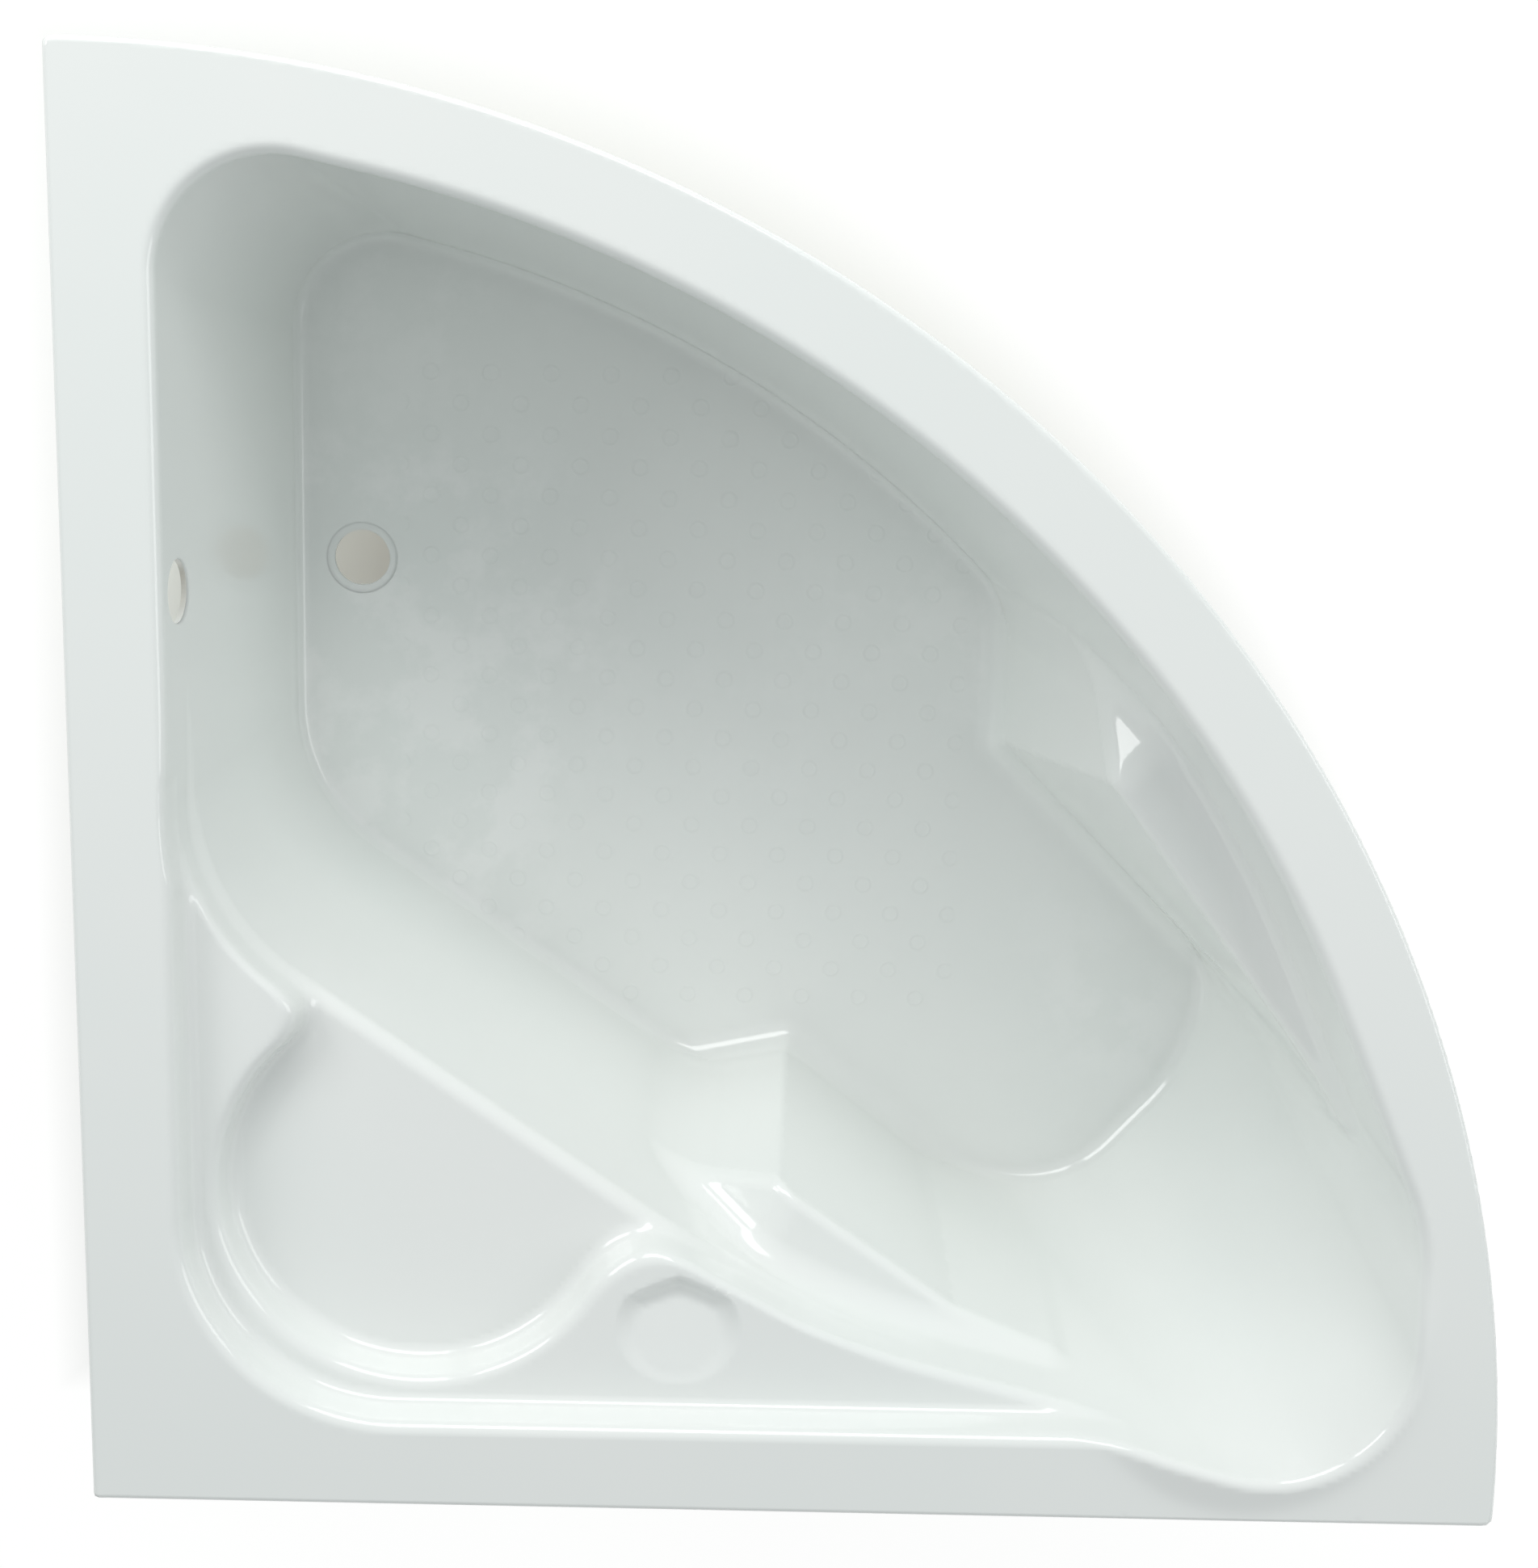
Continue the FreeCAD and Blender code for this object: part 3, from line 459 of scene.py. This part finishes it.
def disc_faces(around, first, centre, up):
    """Quads that close a ring of points over its centre, two sides at a time."""
    a = np.arange(0, around, 2)
    ring = np.stack([first + a, first + (a + 1) % around, first + (a + 2) % around,
                     np.full(len(a), centre)], 1)
    return ring if up else ring[:, ::-1]


def flat_normals(points, faces):
    """One normal per quad."""
    p = points[faces]
    flat = np.cross(p[:, 2] - p[:, 0], p[:, 3] - p[:, 1])
    flat /= np.maximum(np.linalg.norm(flat, axis=1), 1e-9)[:, None]
    return np.repeat(flat[:, None], 4, 1)


def threaded_rod(x, y):
    """Rod with a real helical thread, chamfered ends and a hexagon to turn it by."""
    low, high = ROD
    levels = np.linspace(low, high, int((high - low) / PITCH * PITCH_ROWS) + 1)
    turn = np.arange(TURN_STEPS) * 2 * math.pi / TURN_STEPS
    Z, T = np.meshgrid(levels, turn, indexing="ij")
    phase = (Z / PITCH - T / (2 * math.pi)) % 1.0
    radius = ROD_R - THREAD_DEEP * np.abs(2 * phase - 1)
    radius = np.minimum(radius, ROD_R - ROD_CHAMFER + np.minimum(Z - low, high - Z))
    points = [np.stack([x + radius * np.cos(T), y + radius * np.sin(T), Z], -1).reshape(-1, 3)]
    count = len(levels) * TURN_STEPS
    points.append(np.array([(x, y, low), (x, y, high)]))
    faces = [tube_faces(len(levels), TURN_STEPS, 0), disc_faces(TURN_STEPS, 0, count, False),
             disc_faces(TURN_STEPS, count - TURN_STEPS, count + 1, True)]
    bottom, top, flats = DRIVE_HEX
    bevel_in, bevel_up = HEX_BEVEL
    wide = flats / math.sqrt(3)
    start = count + 2
    angle = np.arange(HEX_SIDES) * math.pi / 3
    rings = ((bottom, wide - bevel_in), (bottom + bevel_up, wide), (top - bevel_up, wide),
             (top, wide - bevel_in))
    for level, size in rings:
        points.append(np.stack([x + size * np.cos(angle), y + size * np.sin(angle),
                                np.full(HEX_SIDES, level)], 1))
    points.append(np.array([(x, y, bottom), (x, y, top)]))
    centre = start + len(rings) * HEX_SIDES
    faces += [tube_faces(len(rings), HEX_SIDES, start), disc_faces(HEX_SIDES, start, centre, False),
              disc_faces(HEX_SIDES, centre - HEX_SIDES, centre + 1, True)]
    points = np.concatenate(points)
    points[:, 2] -= ORIGIN[2]
    faces = np.concatenate(faces)
    return points, faces, flat_normals(points, faces)


def moulding_sheet():
    """The face of the moulding, from the lip's lower edge over the rim and down into the basin."""
    verts, quads = net(CELL)
    verts = settle(verts)
    norms = normals(verts)[1]
    outer = sector_distance(verts) > -OUTLINE_BAND
    below = verts[:, 2] < -LIP - LIP_CUT
    drop = outer[quads].all(1) & below[quads].any(1)
    return compact(verts, norms, quads[~drop])


def open_holes(verts, norms, quads):
    """The face with its waste hole, in a shallow seat, and its overflow hole."""
    verts, norms, quads = pierce(verts, norms, quads, WASTE, UP, WASTE_RINGS)
    verts, norms, quads = pierce(verts, norms, quads, OVERFLOW, OVERFLOW_AXIS, OVERFLOW_RINGS)
    return compact(verts, norms, quads)


def backing_part(verts, norms, quads):
    """The part of the face that glassfibre backs: basin, ledge and shelf, but not the rim."""
    inner = (sector_distance(verts) < -BACK_EDGE_IN) & (verts[:, 2] < -BACK_BELOW)
    verts, norms, quads = compact(verts, norms, quads[inner[quads].all(1)])
    verts, norms, quads = pierce(verts, norms, quads, WASTE, UP, BACKING_WASTE_RINGS)
    verts, norms, quads = pierce(verts, norms, quads, OVERFLOW, OVERFLOW_AXIS, BACKING_OVERFLOW_RINGS)
    return compact(verts, norms, quads)


# ------------------------------------------------------------------ finishes
class Graph:
    """Short way to add nodes to a material's or a group's tree."""

    def __init__(self, tree):
        self.tree = tree

    def add(self, kind, settings=None, **inputs):
        node = self.tree.nodes.new(kind)
        for key, value in (settings or {}).items():
            setattr(node, key, value)
        for key, value in inputs.items():
            socket = self.socket(node, key)
            if isinstance(value, bpy.types.NodeSocket):
                self.tree.links.new(value, socket)
            else:
                socket.default_value = value
        return node

    @staticmethod
    def socket(node, key):
        if key[0] == "i" and key[1:].isdigit():
            return node.inputs[int(key[1:])]
        for socket in node.inputs:
            if socket.name.replace(" ", "_") == key and socket.enabled:
                return socket
        return node.inputs[key.replace("_", " ")]

    def math(self, operation, a, b=0.0, clamp=False):
        node = self.add("ShaderNodeMath", {"operation": operation, "use_clamp": clamp}, i0=a, i1=b)
        return node.outputs[0]

    def noise(self, vector, scale, detail=3.0, rough=0.5):
        node = self.add("ShaderNodeTexNoise", None, Vector=vector, Scale=scale, Detail=detail,
                        Roughness=rough)
        return node.outputs[0]

    def ramp(self, value, stops):
        node = self.add("ShaderNodeValToRGB", None, Fac=value)
        elements = node.color_ramp.elements
        while len(elements) < len(stops):
            elements.new(0.5)
        for element, (place, colour) in zip(elements, stops):
            element.position = place
            element.color = (*colour, 1.0)
        return node.outputs[0]

    def remap(self, value, low, high, to_low=0.0, to_high=1.0):
        node = self.add("ShaderNodeMapRange", None, Value=value, From_Min=low, From_Max=high,
                        To_Min=to_low, To_Max=to_high)
        return node.outputs[0]

    def blend(self, factor, a, b):
        node = self.add("ShaderNodeMix", {"data_type": "RGBA"}, i0=factor, i6=a, i7=b)
        return node.outputs[2]


def new_group(name, inputs, outputs):
    tree = bpy.data.node_groups.new(name, "ShaderNodeTree")
    for label, kind, value in inputs:
        socket = tree.interface.new_socket(label, in_out="INPUT", socket_type=kind)
        socket.default_value = value
    for label, kind in outputs:
        tree.interface.new_socket(label, in_out="OUTPUT", socket_type=kind)
    graph = Graph(tree)
    entry = tree.nodes.new("NodeGroupInput")
    leave = tree.nodes.new("NodeGroupOutput")
    return tree, graph, entry.outputs, leave.inputs


def linear(r, g, b):
    """sRGB 0-255 to the linear colour that a node takes."""
    values = []
    for v in (r, g, b):
        v /= 255.0
        values.append(v / 12.92 if v <= 0.04045 else ((v + 0.055) / 1.055) ** 2.4)
    return tuple(values)


FLOAT = "NodeSocketFloat"
COLOUR = "NodeSocketColor"
DIAGONAL_BANDS = {"wave_type": "BANDS", "bands_direction": "DIAGONAL"}


def patchy_group():
    """Slow and fine unevenness of a surface: a colour, a roughness and a height."""
    tree, g, into, out = new_group(
        "patchy surface",
        [("Colour", COLOUR, (0.8, 0.8, 0.8, 1)), ("Second Colour", COLOUR, (0.7, 0.7, 0.7, 1)),
         ("Patch Scale", FLOAT, 4.0), ("Grain Scale", FLOAT, 400.0), ("Patch Amount", FLOAT, 0.5),
         ("Roughness", FLOAT, 0.4), ("Roughness Spread", FLOAT, 0.1)],
        [("Colour", COLOUR), ("Roughness", FLOAT), ("Height", FLOAT)])
    where = g.add("ShaderNodeTexCoord").outputs["Object"]
    patches = g.noise(where, into["Patch Scale"], 4.0, 0.6)
    grain = g.noise(where, into["Grain Scale"], 2.0, 0.6)
    mask = g.math("MULTIPLY", g.remap(patches, 0.35, 0.68), into["Patch Amount"], True)
    g.tree.links.new(g.blend(mask, into["Colour"], into["Second Colour"]), out["Colour"])
    spread = g.math("MULTIPLY", g.math("SUBTRACT", grain, 0.5), into["Roughness Spread"])
    patch_spread = g.math("MULTIPLY", mask, g.math("MULTIPLY", into["Roughness Spread"], 0.5))
    fine = g.math("ADD", into["Roughness"], spread)
    g.tree.links.new(g.math("ADD", fine, patch_spread), out["Roughness"])
    g.tree.links.new(grain, out["Height"])
    return tree


def wear_group():
    """Rubbed edges and fine scratches, as a mask."""
    tree, g, into, out = new_group(
        "rubbed edges",
        [("Edge Width", FLOAT, 0.5), ("Scratch Scale", FLOAT, 60.0)],
        [("Mask", FLOAT)])
    where = g.add("ShaderNodeTexCoord").outputs["Object"]
    point = g.add("ShaderNodeNewGeometry").outputs["Pointiness"]
    edge = g.remap(point, 0.505, g.math("ADD", 0.52, g.math("MULTIPLY", into["Edge Width"], 0.1)))
    breakup = g.noise(where, into["Scratch Scale"], 5.0, 0.7)
    long_marks = g.add("ShaderNodeTexWave", DIAGONAL_BANDS, Vector=where, Scale=into["Scratch Scale"],
                       Distortion=18.0, Detail=3.0).outputs[1]
    scratches = g.remap(long_marks, 0.985, 1.0, 0.0, 0.35)
    mask = g.math("MULTIPLY", edge, g.remap(breakup, 0.4, 0.6))
    marks = g.math("MULTIPLY", scratches, breakup)
    g.tree.links.new(g.math("MAXIMUM", mask, marks, True), out["Mask"])
    return tree


def start_material(name, **fixed):
    """New material with constant values set on its own shader."""
    material = bpy.data.materials.new(name)
    material.use_nodes = True
    tree = material.node_tree
    shader = tree.nodes["Principled BSDF"]
    for key, value in fixed.items():
        shader.inputs[key.replace("_", " ")].default_value = value
    return material, Graph(tree), shader


def use_group(g, tree, **values):
    """Place a node group with its own values, and give its outputs."""
    node = g.add("ShaderNodeGroup", {"node_tree": tree})
    for key, value in values.items():
        socket = node.inputs[key.replace("_", " ")]
        if isinstance(value, bpy.types.NodeSocket):
            g.tree.links.new(value, socket)
        else:
            socket.default_value = value
    return node.outputs


def bump(g, shader, height, strength, distance):
    node = g.add("ShaderNodeBump", None, Height=height, Strength=strength, Distance=distance)
    g.tree.links.new(node.outputs[0], shader.inputs["Normal"])


ACRYLIC = linear(241, 244, 241)
ACRYLIC_SHADE = linear(236, 242, 239)
FLOOR_TOP = (0.1735, 0.171)                    # heights between which the bath floor's finish starts
FLOOR_FILM = linear(250, 252, 250)             # dull film on the bath floor
FILM_FINE = (13.0, 5.0, 0.65)                  # its noise: scale, detail, roughness
FILM_WIDE = (2.6, 1.0, 0.5)
FILM_SHARE = 0.5
FLOOR_DULL = 0.10
RING_PITCH = (0.057, 0.056)                    # anti-slip rings, in metres in the frame
RING_START = (0.028, -0.073)
RING_AREA = ((-0.27, 0.36), (-0.165, 0.375))
RING_FADE = 0.004
RING_R = 0.0072
RING_WIDTH = 0.0018
# Painted shade of the raised anti-slip rings: their colour is blended by RING_TONE towards this
# darker tone.
RING_PAINTED_SHADE = linear(214, 221, 217)
RING_TONE = 0.07


def acrylic_material():
    material, g, shader = start_material("white acrylic", Coat_Weight=0.35, Coat_Roughness=0.04,
                                         IOR=1.49)
    where = g.add("ShaderNodeTexCoord").outputs["Object"]
    split = g.add("ShaderNodeSeparateXYZ", None, Vector=where).outputs
    rings, floor_mask = anti_slip_rings(g, split)
    base = use_group(g, PATCHY, Colour=(*ACRYLIC, 1), Second_Colour=(*ACRYLIC_SHADE, 1),
                     Patch_Scale=2.2, Grain_Scale=900.0, Patch_Amount=0.5, Roughness=0.13,
                     Roughness_Spread=0.05)
    film = g.math("MULTIPLY", g.remap(g.noise(where, *FILM_FINE), 0.47, 0.6), floor_mask)
    film = g.math("MULTIPLY", film, g.remap(g.noise(where, *FILM_WIDE), 0.45, 0.62))
    dull = g.blend(g.math("MULTIPLY", film, FILM_SHARE), base["Colour"], (*FLOOR_FILM, 1))
    # Painted shade: the raised rings are coloured a little darker, on top of their bump.
    ring_shaded_colour = g.blend(g.math("MULTIPLY", rings, RING_TONE), dull, (*RING_PAINTED_SHADE, 1))
    g.tree.links.new(ring_shaded_colour, shader.inputs["Base Color"])
    rough = g.math("ADD", base["Roughness"], g.math("MULTIPLY", floor_mask, FLOOR_DULL))
    g.tree.links.new(rough, shader.inputs["Roughness"])
    bump(g, shader, rings, 0.6, 0.0005)
    return material


def far_from(g, x, y):
    """Distance in plan from two offsets."""
    return g.math("SQRT", g.math("ADD", g.math("POWER", x, 2.0), g.math("POWER", y, 2.0)))


def anti_slip_rings(g, split):
    """Small raised rings on a diagonal grid over the bath floor; a height and a mask of the floor."""
    height = None
    for shift in (0.0, 0.5):
        parts = []
        for axis, pitch in enumerate(RING_PITCH):
            cell = g.math("SUBTRACT", g.math("DIVIDE", split[axis], pitch),
                          RING_START[axis] / pitch + shift)
            near = g.math("SUBTRACT", cell, g.math("ROUND", cell))
            parts.append(g.math("MULTIPLY", near, pitch))
        away = far_from(g, *parts)
        off = g.math("ABSOLUTE", g.math("SUBTRACT", away, RING_R))
        ring = g.math("SUBTRACT", 1.0, g.math("DIVIDE", off, RING_WIDTH), True)
        height = ring if height is None else g.math("MAXIMUM", height, ring)
    floor_mask = g.remap(split[2], *FLOOR_TOP)
    inside = floor_mask
    for axis, (low, high) in enumerate(RING_AREA):
        inside = g.math("MULTIPLY", inside, g.remap(split[axis], low, low + RING_FADE))
        inside = g.math("MULTIPLY", inside, g.remap(split[axis], high, high - RING_FADE))
    return g.math("MULTIPLY", height, inside), floor_mask


def glassfibre_material():
    material, g, shader = start_material("laid glassfibre", IOR=1.5)
    base = use_group(g, PATCHY, Colour=(*linear(214, 210, 188), 1),
                     Second_Colour=(*linear(190, 184, 156), 1), Patch_Scale=7.0, Grain_Scale=120.0,
                     Patch_Amount=0.8, Roughness=0.48, Roughness_Spread=0.3)
    where = g.add("ShaderNodeTexCoord").outputs["Object"]
    strands = []
    for turn, scale in ((0.0, 90.0), (0.9, 110.0), (2.0, 100.0)):
        tilted = g.add("ShaderNodeMapping", None, Vector=where,
                       Rotation=(turn, turn * 0.7, turn)).outputs[0]
        stretched = g.add("ShaderNodeMapping", None, Vector=tilted, Scale=(1.0, 9.0, 9.0)).outputs[0]
        strands.append(g.remap(g.noise(stretched, scale, 2.0, 0.5), 0.56, 0.66))
    mat = g.math("MAXIMUM", g.math("MAXIMUM", strands[0], strands[1]), strands[2])
    colour = g.blend(g.math("MULTIPLY", mat, 0.35), base["Colour"], (*linear(236, 234, 220), 1))
    g.tree.links.new(colour, shader.inputs["Base Color"])
    g.tree.links.new(base["Roughness"], shader.inputs["Roughness"])
    height = g.math("ADD", g.math("MULTIPLY", mat, 0.5), base["Height"])
    bump(g, shader, height, 0.6, 0.0012)
    return material


def chipboard_material():
    material, g, shader = start_material("raw chipboard", IOR=1.45)
    where = g.add("ShaderNodeTexCoord").outputs["Object"]
    flakes = g.add("ShaderNodeTexVoronoi", {"feature": "F1"}, Vector=where, Scale=260.0,
                   Randomness=1.0)
    tone = g.add("ShaderNodeSeparateColor", None, Color=flakes.outputs["Color"]).outputs[0]
    colour = g.ramp(tone, [(0.0, linear(140, 106, 66)), (0.45, linear(186, 150, 104)),
                           (0.8, linear(206, 174, 128)), (1.0, linear(222, 196, 154))])
    base = use_group(g, PATCHY, Colour=colour, Second_Colour=(*linear(168, 132, 88), 1),
                     Patch_Scale=9.0, Grain_Scale=500.0, Patch_Amount=0.25, Roughness=0.75,
                     Roughness_Spread=0.15)
    g.tree.links.new(base["Colour"], shader.inputs["Base Color"])
    g.tree.links.new(base["Roughness"], shader.inputs["Roughness"])
    bump(g, shader, g.math("ADD", tone, base["Height"]), 0.4, 0.0005)
    return material


PLY = 0.0030                                   # thickness of two layers of the plywood


def plywood_material():
    material, g, shader = start_material("birch plywood", IOR=1.45)
    where = g.add("ShaderNodeTexCoord").outputs["Object"]
    long_way = g.add("ShaderNodeMapping", None, Vector=where, Scale=(1.6, 1.6, 14.0)).outputs[0]
    grain = g.add("ShaderNodeTexWave", DIAGONAL_BANDS, Vector=long_way, Scale=16.0, Distortion=7.0,
                  Detail=4.0, Detail_Scale=2.0).outputs[1]
    face = g.ramp(grain, [(0.0, linear(196, 160, 112)), (0.55, linear(214, 182, 134)),
                          (1.0, linear(226, 198, 152))])
    split = g.add("ShaderNodeSeparateXYZ", None, Vector=where).outputs
    layers = g.math("SINE", g.math("MULTIPLY", split[2], 2 * math.pi / PLY))
    edge = g.ramp(g.remap(layers, -0.4, 0.4),
                  [(0.0, linear(150, 112, 70)), (1.0, linear(212, 178, 130))])
    facing = g.add("ShaderNodeNewGeometry").outputs["True Normal"]
    normal = g.add("ShaderNodeSeparateXYZ", None, Vector=facing).outputs
    upright = g.remap(g.math("ABSOLUTE", normal[2]), 0.6, 0.3)
    colour = g.blend(upright, face, edge)
    base = use_group(g, PATCHY, Colour=colour, Second_Colour=(*linear(176, 140, 96), 1),
                     Patch_Scale=6.0, Grain_Scale=700.0, Patch_Amount=0.2, Roughness=0.62,
                     Roughness_Spread=0.15)
    g.tree.links.new(base["Colour"], shader.inputs["Base Color"])
    g.tree.links.new(base["Roughness"], shader.inputs["Roughness"])
    bump(g, shader, g.math("ADD", grain, base["Height"]), 0.25, 0.0004)
    return material


def metal_material(name, colours, metallic, roughness, patch, grain, height):
    """Painted or plated steel; rubbed edges show the last of its three colours."""
    colour, second, bare = colours
    material, g, shader = start_material(name, Metallic=metallic)
    base = use_group(g, PATCHY, Colour=(*colour, 1), Second_Colour=(*second, 1), Patch_Scale=patch,
                     Grain_Scale=grain, Patch_Amount=0.7, Roughness=roughness, Roughness_Spread=0.16)
    rubbed = use_group(g, WEAR, Edge_Width=0.6, Scratch_Scale=70.0)["Mask"]
    g.tree.links.new(g.blend(rubbed, base["Colour"], (*bare, 1)), shader.inputs["Base Color"])
    g.tree.links.new(base["Roughness"], shader.inputs["Roughness"])
    bump(g, shader, base["Height"], 0.3, height)
    return material


def plastic_material(name, colour, second, roughness, grain):
    material, g, shader = start_material(name, IOR=1.5)
    base = use_group(g, PATCHY, Colour=(*colour, 1), Second_Colour=(*second, 1), Patch_Scale=18.0,
                     Grain_Scale=grain, Patch_Amount=0.6, Roughness=roughness, Roughness_Spread=0.2)
    rubbed = use_group(g, WEAR, Edge_Width=0.8, Scratch_Scale=90.0)["Mask"]
    g.tree.links.new(g.blend(rubbed, base["Colour"], (*second, 1)), shader.inputs["Base Color"])
    g.tree.links.new(base["Roughness"], shader.inputs["Roughness"])
    bump(g, shader, base["Height"], 0.4, 0.00025)
    return material


PATCHY = patchy_group()
WEAR = wear_group()
PAINT = linear(150, 154, 158), linear(138, 143, 148), linear(180, 182, 184)
BRACKET_ZINC = linear(196, 199, 203), linear(172, 177, 184), linear(214, 216, 218)
FIXING_ZINC = linear(206, 204, 190), linear(180, 180, 170), linear(220, 220, 218)
ROD_ZINC = linear(198, 198, 192), linear(168, 170, 168), linear(216, 216, 214)
FINISH = {
    "acrylic": acrylic_material(),
    "glassfibre": glassfibre_material(),
    "chipboard": chipboard_material(),
    "plywood": plywood_material(),
    "bar_paint": metal_material("grey powder coat", PAINT, 0.0, 0.42, 5.0, 900.0, 0.0002),
    "bracket_zinc": metal_material("zinc plated sheet", BRACKET_ZINC, 1.0, 0.34, 60.0, 1500.0,
                                   0.0001),
    "zinc": metal_material("zinc plated fixings", FIXING_ZINC, 1.0, 0.3, 140.0, 1800.0, 0.0001),
    "rod_zinc": metal_material("zinc plated rod", ROD_ZINC, 1.0, 0.32, 90.0, 1600.0, 0.0001),
    "black_plastic": plastic_material("black end caps", linear(40, 41, 43), linear(56, 57, 60),
                                      0.5, 1400.0),
    "pad_plastic": plastic_material("black pads", linear(46, 47, 50), linear(64, 65, 69),
                                    0.55, 1100.0),
}


# ------------------------------------------------------------------ pieces
SLOT_OF = {row["node"]: row["material_slot"] for row in frame["record"]["subparts"]}


def dress(piece, slot, body="bath", replaces=None):
    """Give a new piece its finish and its body, and hide the CAD node that it replaces."""
    piece.data.materials.append(FINISH[slot])
    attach(piece, body)
    if replaces:
        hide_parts(replaces)


SHEET = moulding_sheet()
skin = build_mesh("bath_moulding", *thick_skin(*open_holes(*SHEET), 0.0, SKIN_T))
dress(skin, "acrylic", replaces="acrylic_shell")
backing = build_mesh("glassfibre_laminate", *thick_skin(*backing_part(*SHEET), BACK_IN, BACK_OUT))
dress(backing, "glassfibre", replaces="glassfibre_backing")

for number, (x, y) in enumerate(FEET, 1):
    rod = build_mesh("threaded_rod_%d" % number, *threaded_rod(x, y))
    dress(rod, "rod_zinc", "foot_%d" % number, "foot_rod_%d" % number)

for name, node in frame["nodes"].items():
    node.data.materials.clear()
    node.data.materials.append(FINISH[SLOT_OF[name]])


# ------------------------------------------------------------------ floor, light and camera
HALF = SIDE * MM / 2
GLOW = 1.1                                     # strength of the floor's white, where 1 is white
GLOW_SHARE = 0.82
GLOW_START = (-0.06, 0.10)                     # from the bath's outline outwards
GLOW_BACK = 0.08                               # the same for the wall sides is this much further out


def floor_material():
    """Pale floor that the camera sees nearly white, with the object's shadow kept."""
    material, g, shader = start_material("pale floor", Roughness=0.7)
    base = use_group(g, PATCHY, Colour=(0.84, 0.87, 0.83, 1), Second_Colour=(0.82, 0.85, 0.81, 1),
                     Patch_Scale=0.7, Grain_Scale=80.0, Patch_Amount=0.4, Roughness=0.7,
                     Roughness_Spread=0.05)
    g.tree.links.new(base["Colour"], shader.inputs["Base Color"])
    glow = g.add("ShaderNodeEmission", None, Color=(1, 1, 1, 1), Strength=GLOW)
    rays = g.add("ShaderNodeLightPath").outputs
    seen = g.math("MAXIMUM", g.math("MAXIMUM", rays["Is Camera Ray"], rays["Is Glossy Ray"]),
                  rays["Is Transmission Ray"])
    where = g.add("ShaderNodeTexCoord").outputs["Object"]
    split = g.add("ShaderNodeSeparateXYZ", None, Vector=where).outputs
    side_x = g.math("ADD", split[0], HALF)
    side_y = g.math("SUBTRACT", HALF, split[1])
    beyond = g.math("MAXIMUM", g.math("SUBTRACT", far_from(g, side_x, side_y), SIDE * MM),
                    g.math("SUBTRACT", -GLOW_BACK, g.math("MINIMUM", side_x, side_y)))
    share = g.math("MULTIPLY", seen, g.remap(beyond, *GLOW_START, 0.0, GLOW_SHARE))
    mix = g.add("ShaderNodeMixShader", None, i0=share, i1=shader.outputs[0], i2=glow.outputs[0])
    g.tree.links.new(mix.outputs[0], g.tree.nodes["Material Output"].inputs["Surface"])
    return material


bpy.ops.mesh.primitive_plane_add(size=30.0, location=(0, 0, 0))
floor = bpy.context.object
floor.name = "floor"
floor.data.materials.append(floor_material())


# Name, place, aimed at, width and height, power.
LIGHTS = [
    ("long window", (3.5, 0.0, 2.8), (0, 0, 0.45), (3.2, 1.8), 78.0),
    ("left window", (2.2, 2.9, 2.7), (0, 0, 0.5), (2.0, 1.4), 42.0),
    ("right window", (0.2, -3.4, 2.4), (0, 0, 0.5), (2.4, 1.6), 27.0),
]
for name, place, target, size, power in LIGHTS:
    lamp = bpy.data.lights.new(name, "AREA")
    lamp.shape = "RECTANGLE"
    lamp.size, lamp.size_y = size
    lamp.energy = power
    light = bpy.data.objects.new(name, lamp)
    light.location = place
    light.rotation_euler = (Vector(target) - Vector(place)).to_track_quat("-Z", "Y").to_euler()
    bpy.context.scene.collection.objects.link(light)

ROOM_COLOUR = (0.95, 0.98, 1.0, 1)
ROOM_STRENGTH = 0.47
world = bpy.data.worlds.new("room")
world.use_nodes = True
sky = world.node_tree.nodes["Background"]
sky.inputs["Color"].default_value = ROOM_COLOUR
sky.inputs["Strength"].default_value = ROOM_STRENGTH
bpy.context.scene.world = world

# Camera as fitted to the corners and the bowed front: lens and sensor in mm, place in metres.
LENS = 55.395
SENSOR = 36.0
SHIFT = (0.0708, 0.0279)
CAMERA_PLACE = Matrix((
    (0.0188023, 0.9751929, 0.2205567, 0.427265),
    (-0.9998013, 0.0197986, -0.0023073, 0.121975),
    (-0.0066168, -0.2204695, 0.9753714, 2.457790),
    (0.0, 0.0, 0.0, 1.0),
))
camera_data = bpy.data.cameras.new("camera")
camera_data.lens = LENS
camera_data.sensor_width = SENSOR
camera_data.shift_x, camera_data.shift_y = SHIFT
camera = bpy.data.objects.new("camera", camera_data)
camera.matrix_world = CAMERA_PLACE
bpy.context.scene.collection.objects.link(camera)
bpy.context.scene.camera = camera
bpy.context.scene.view_settings.view_transform = "Standard"
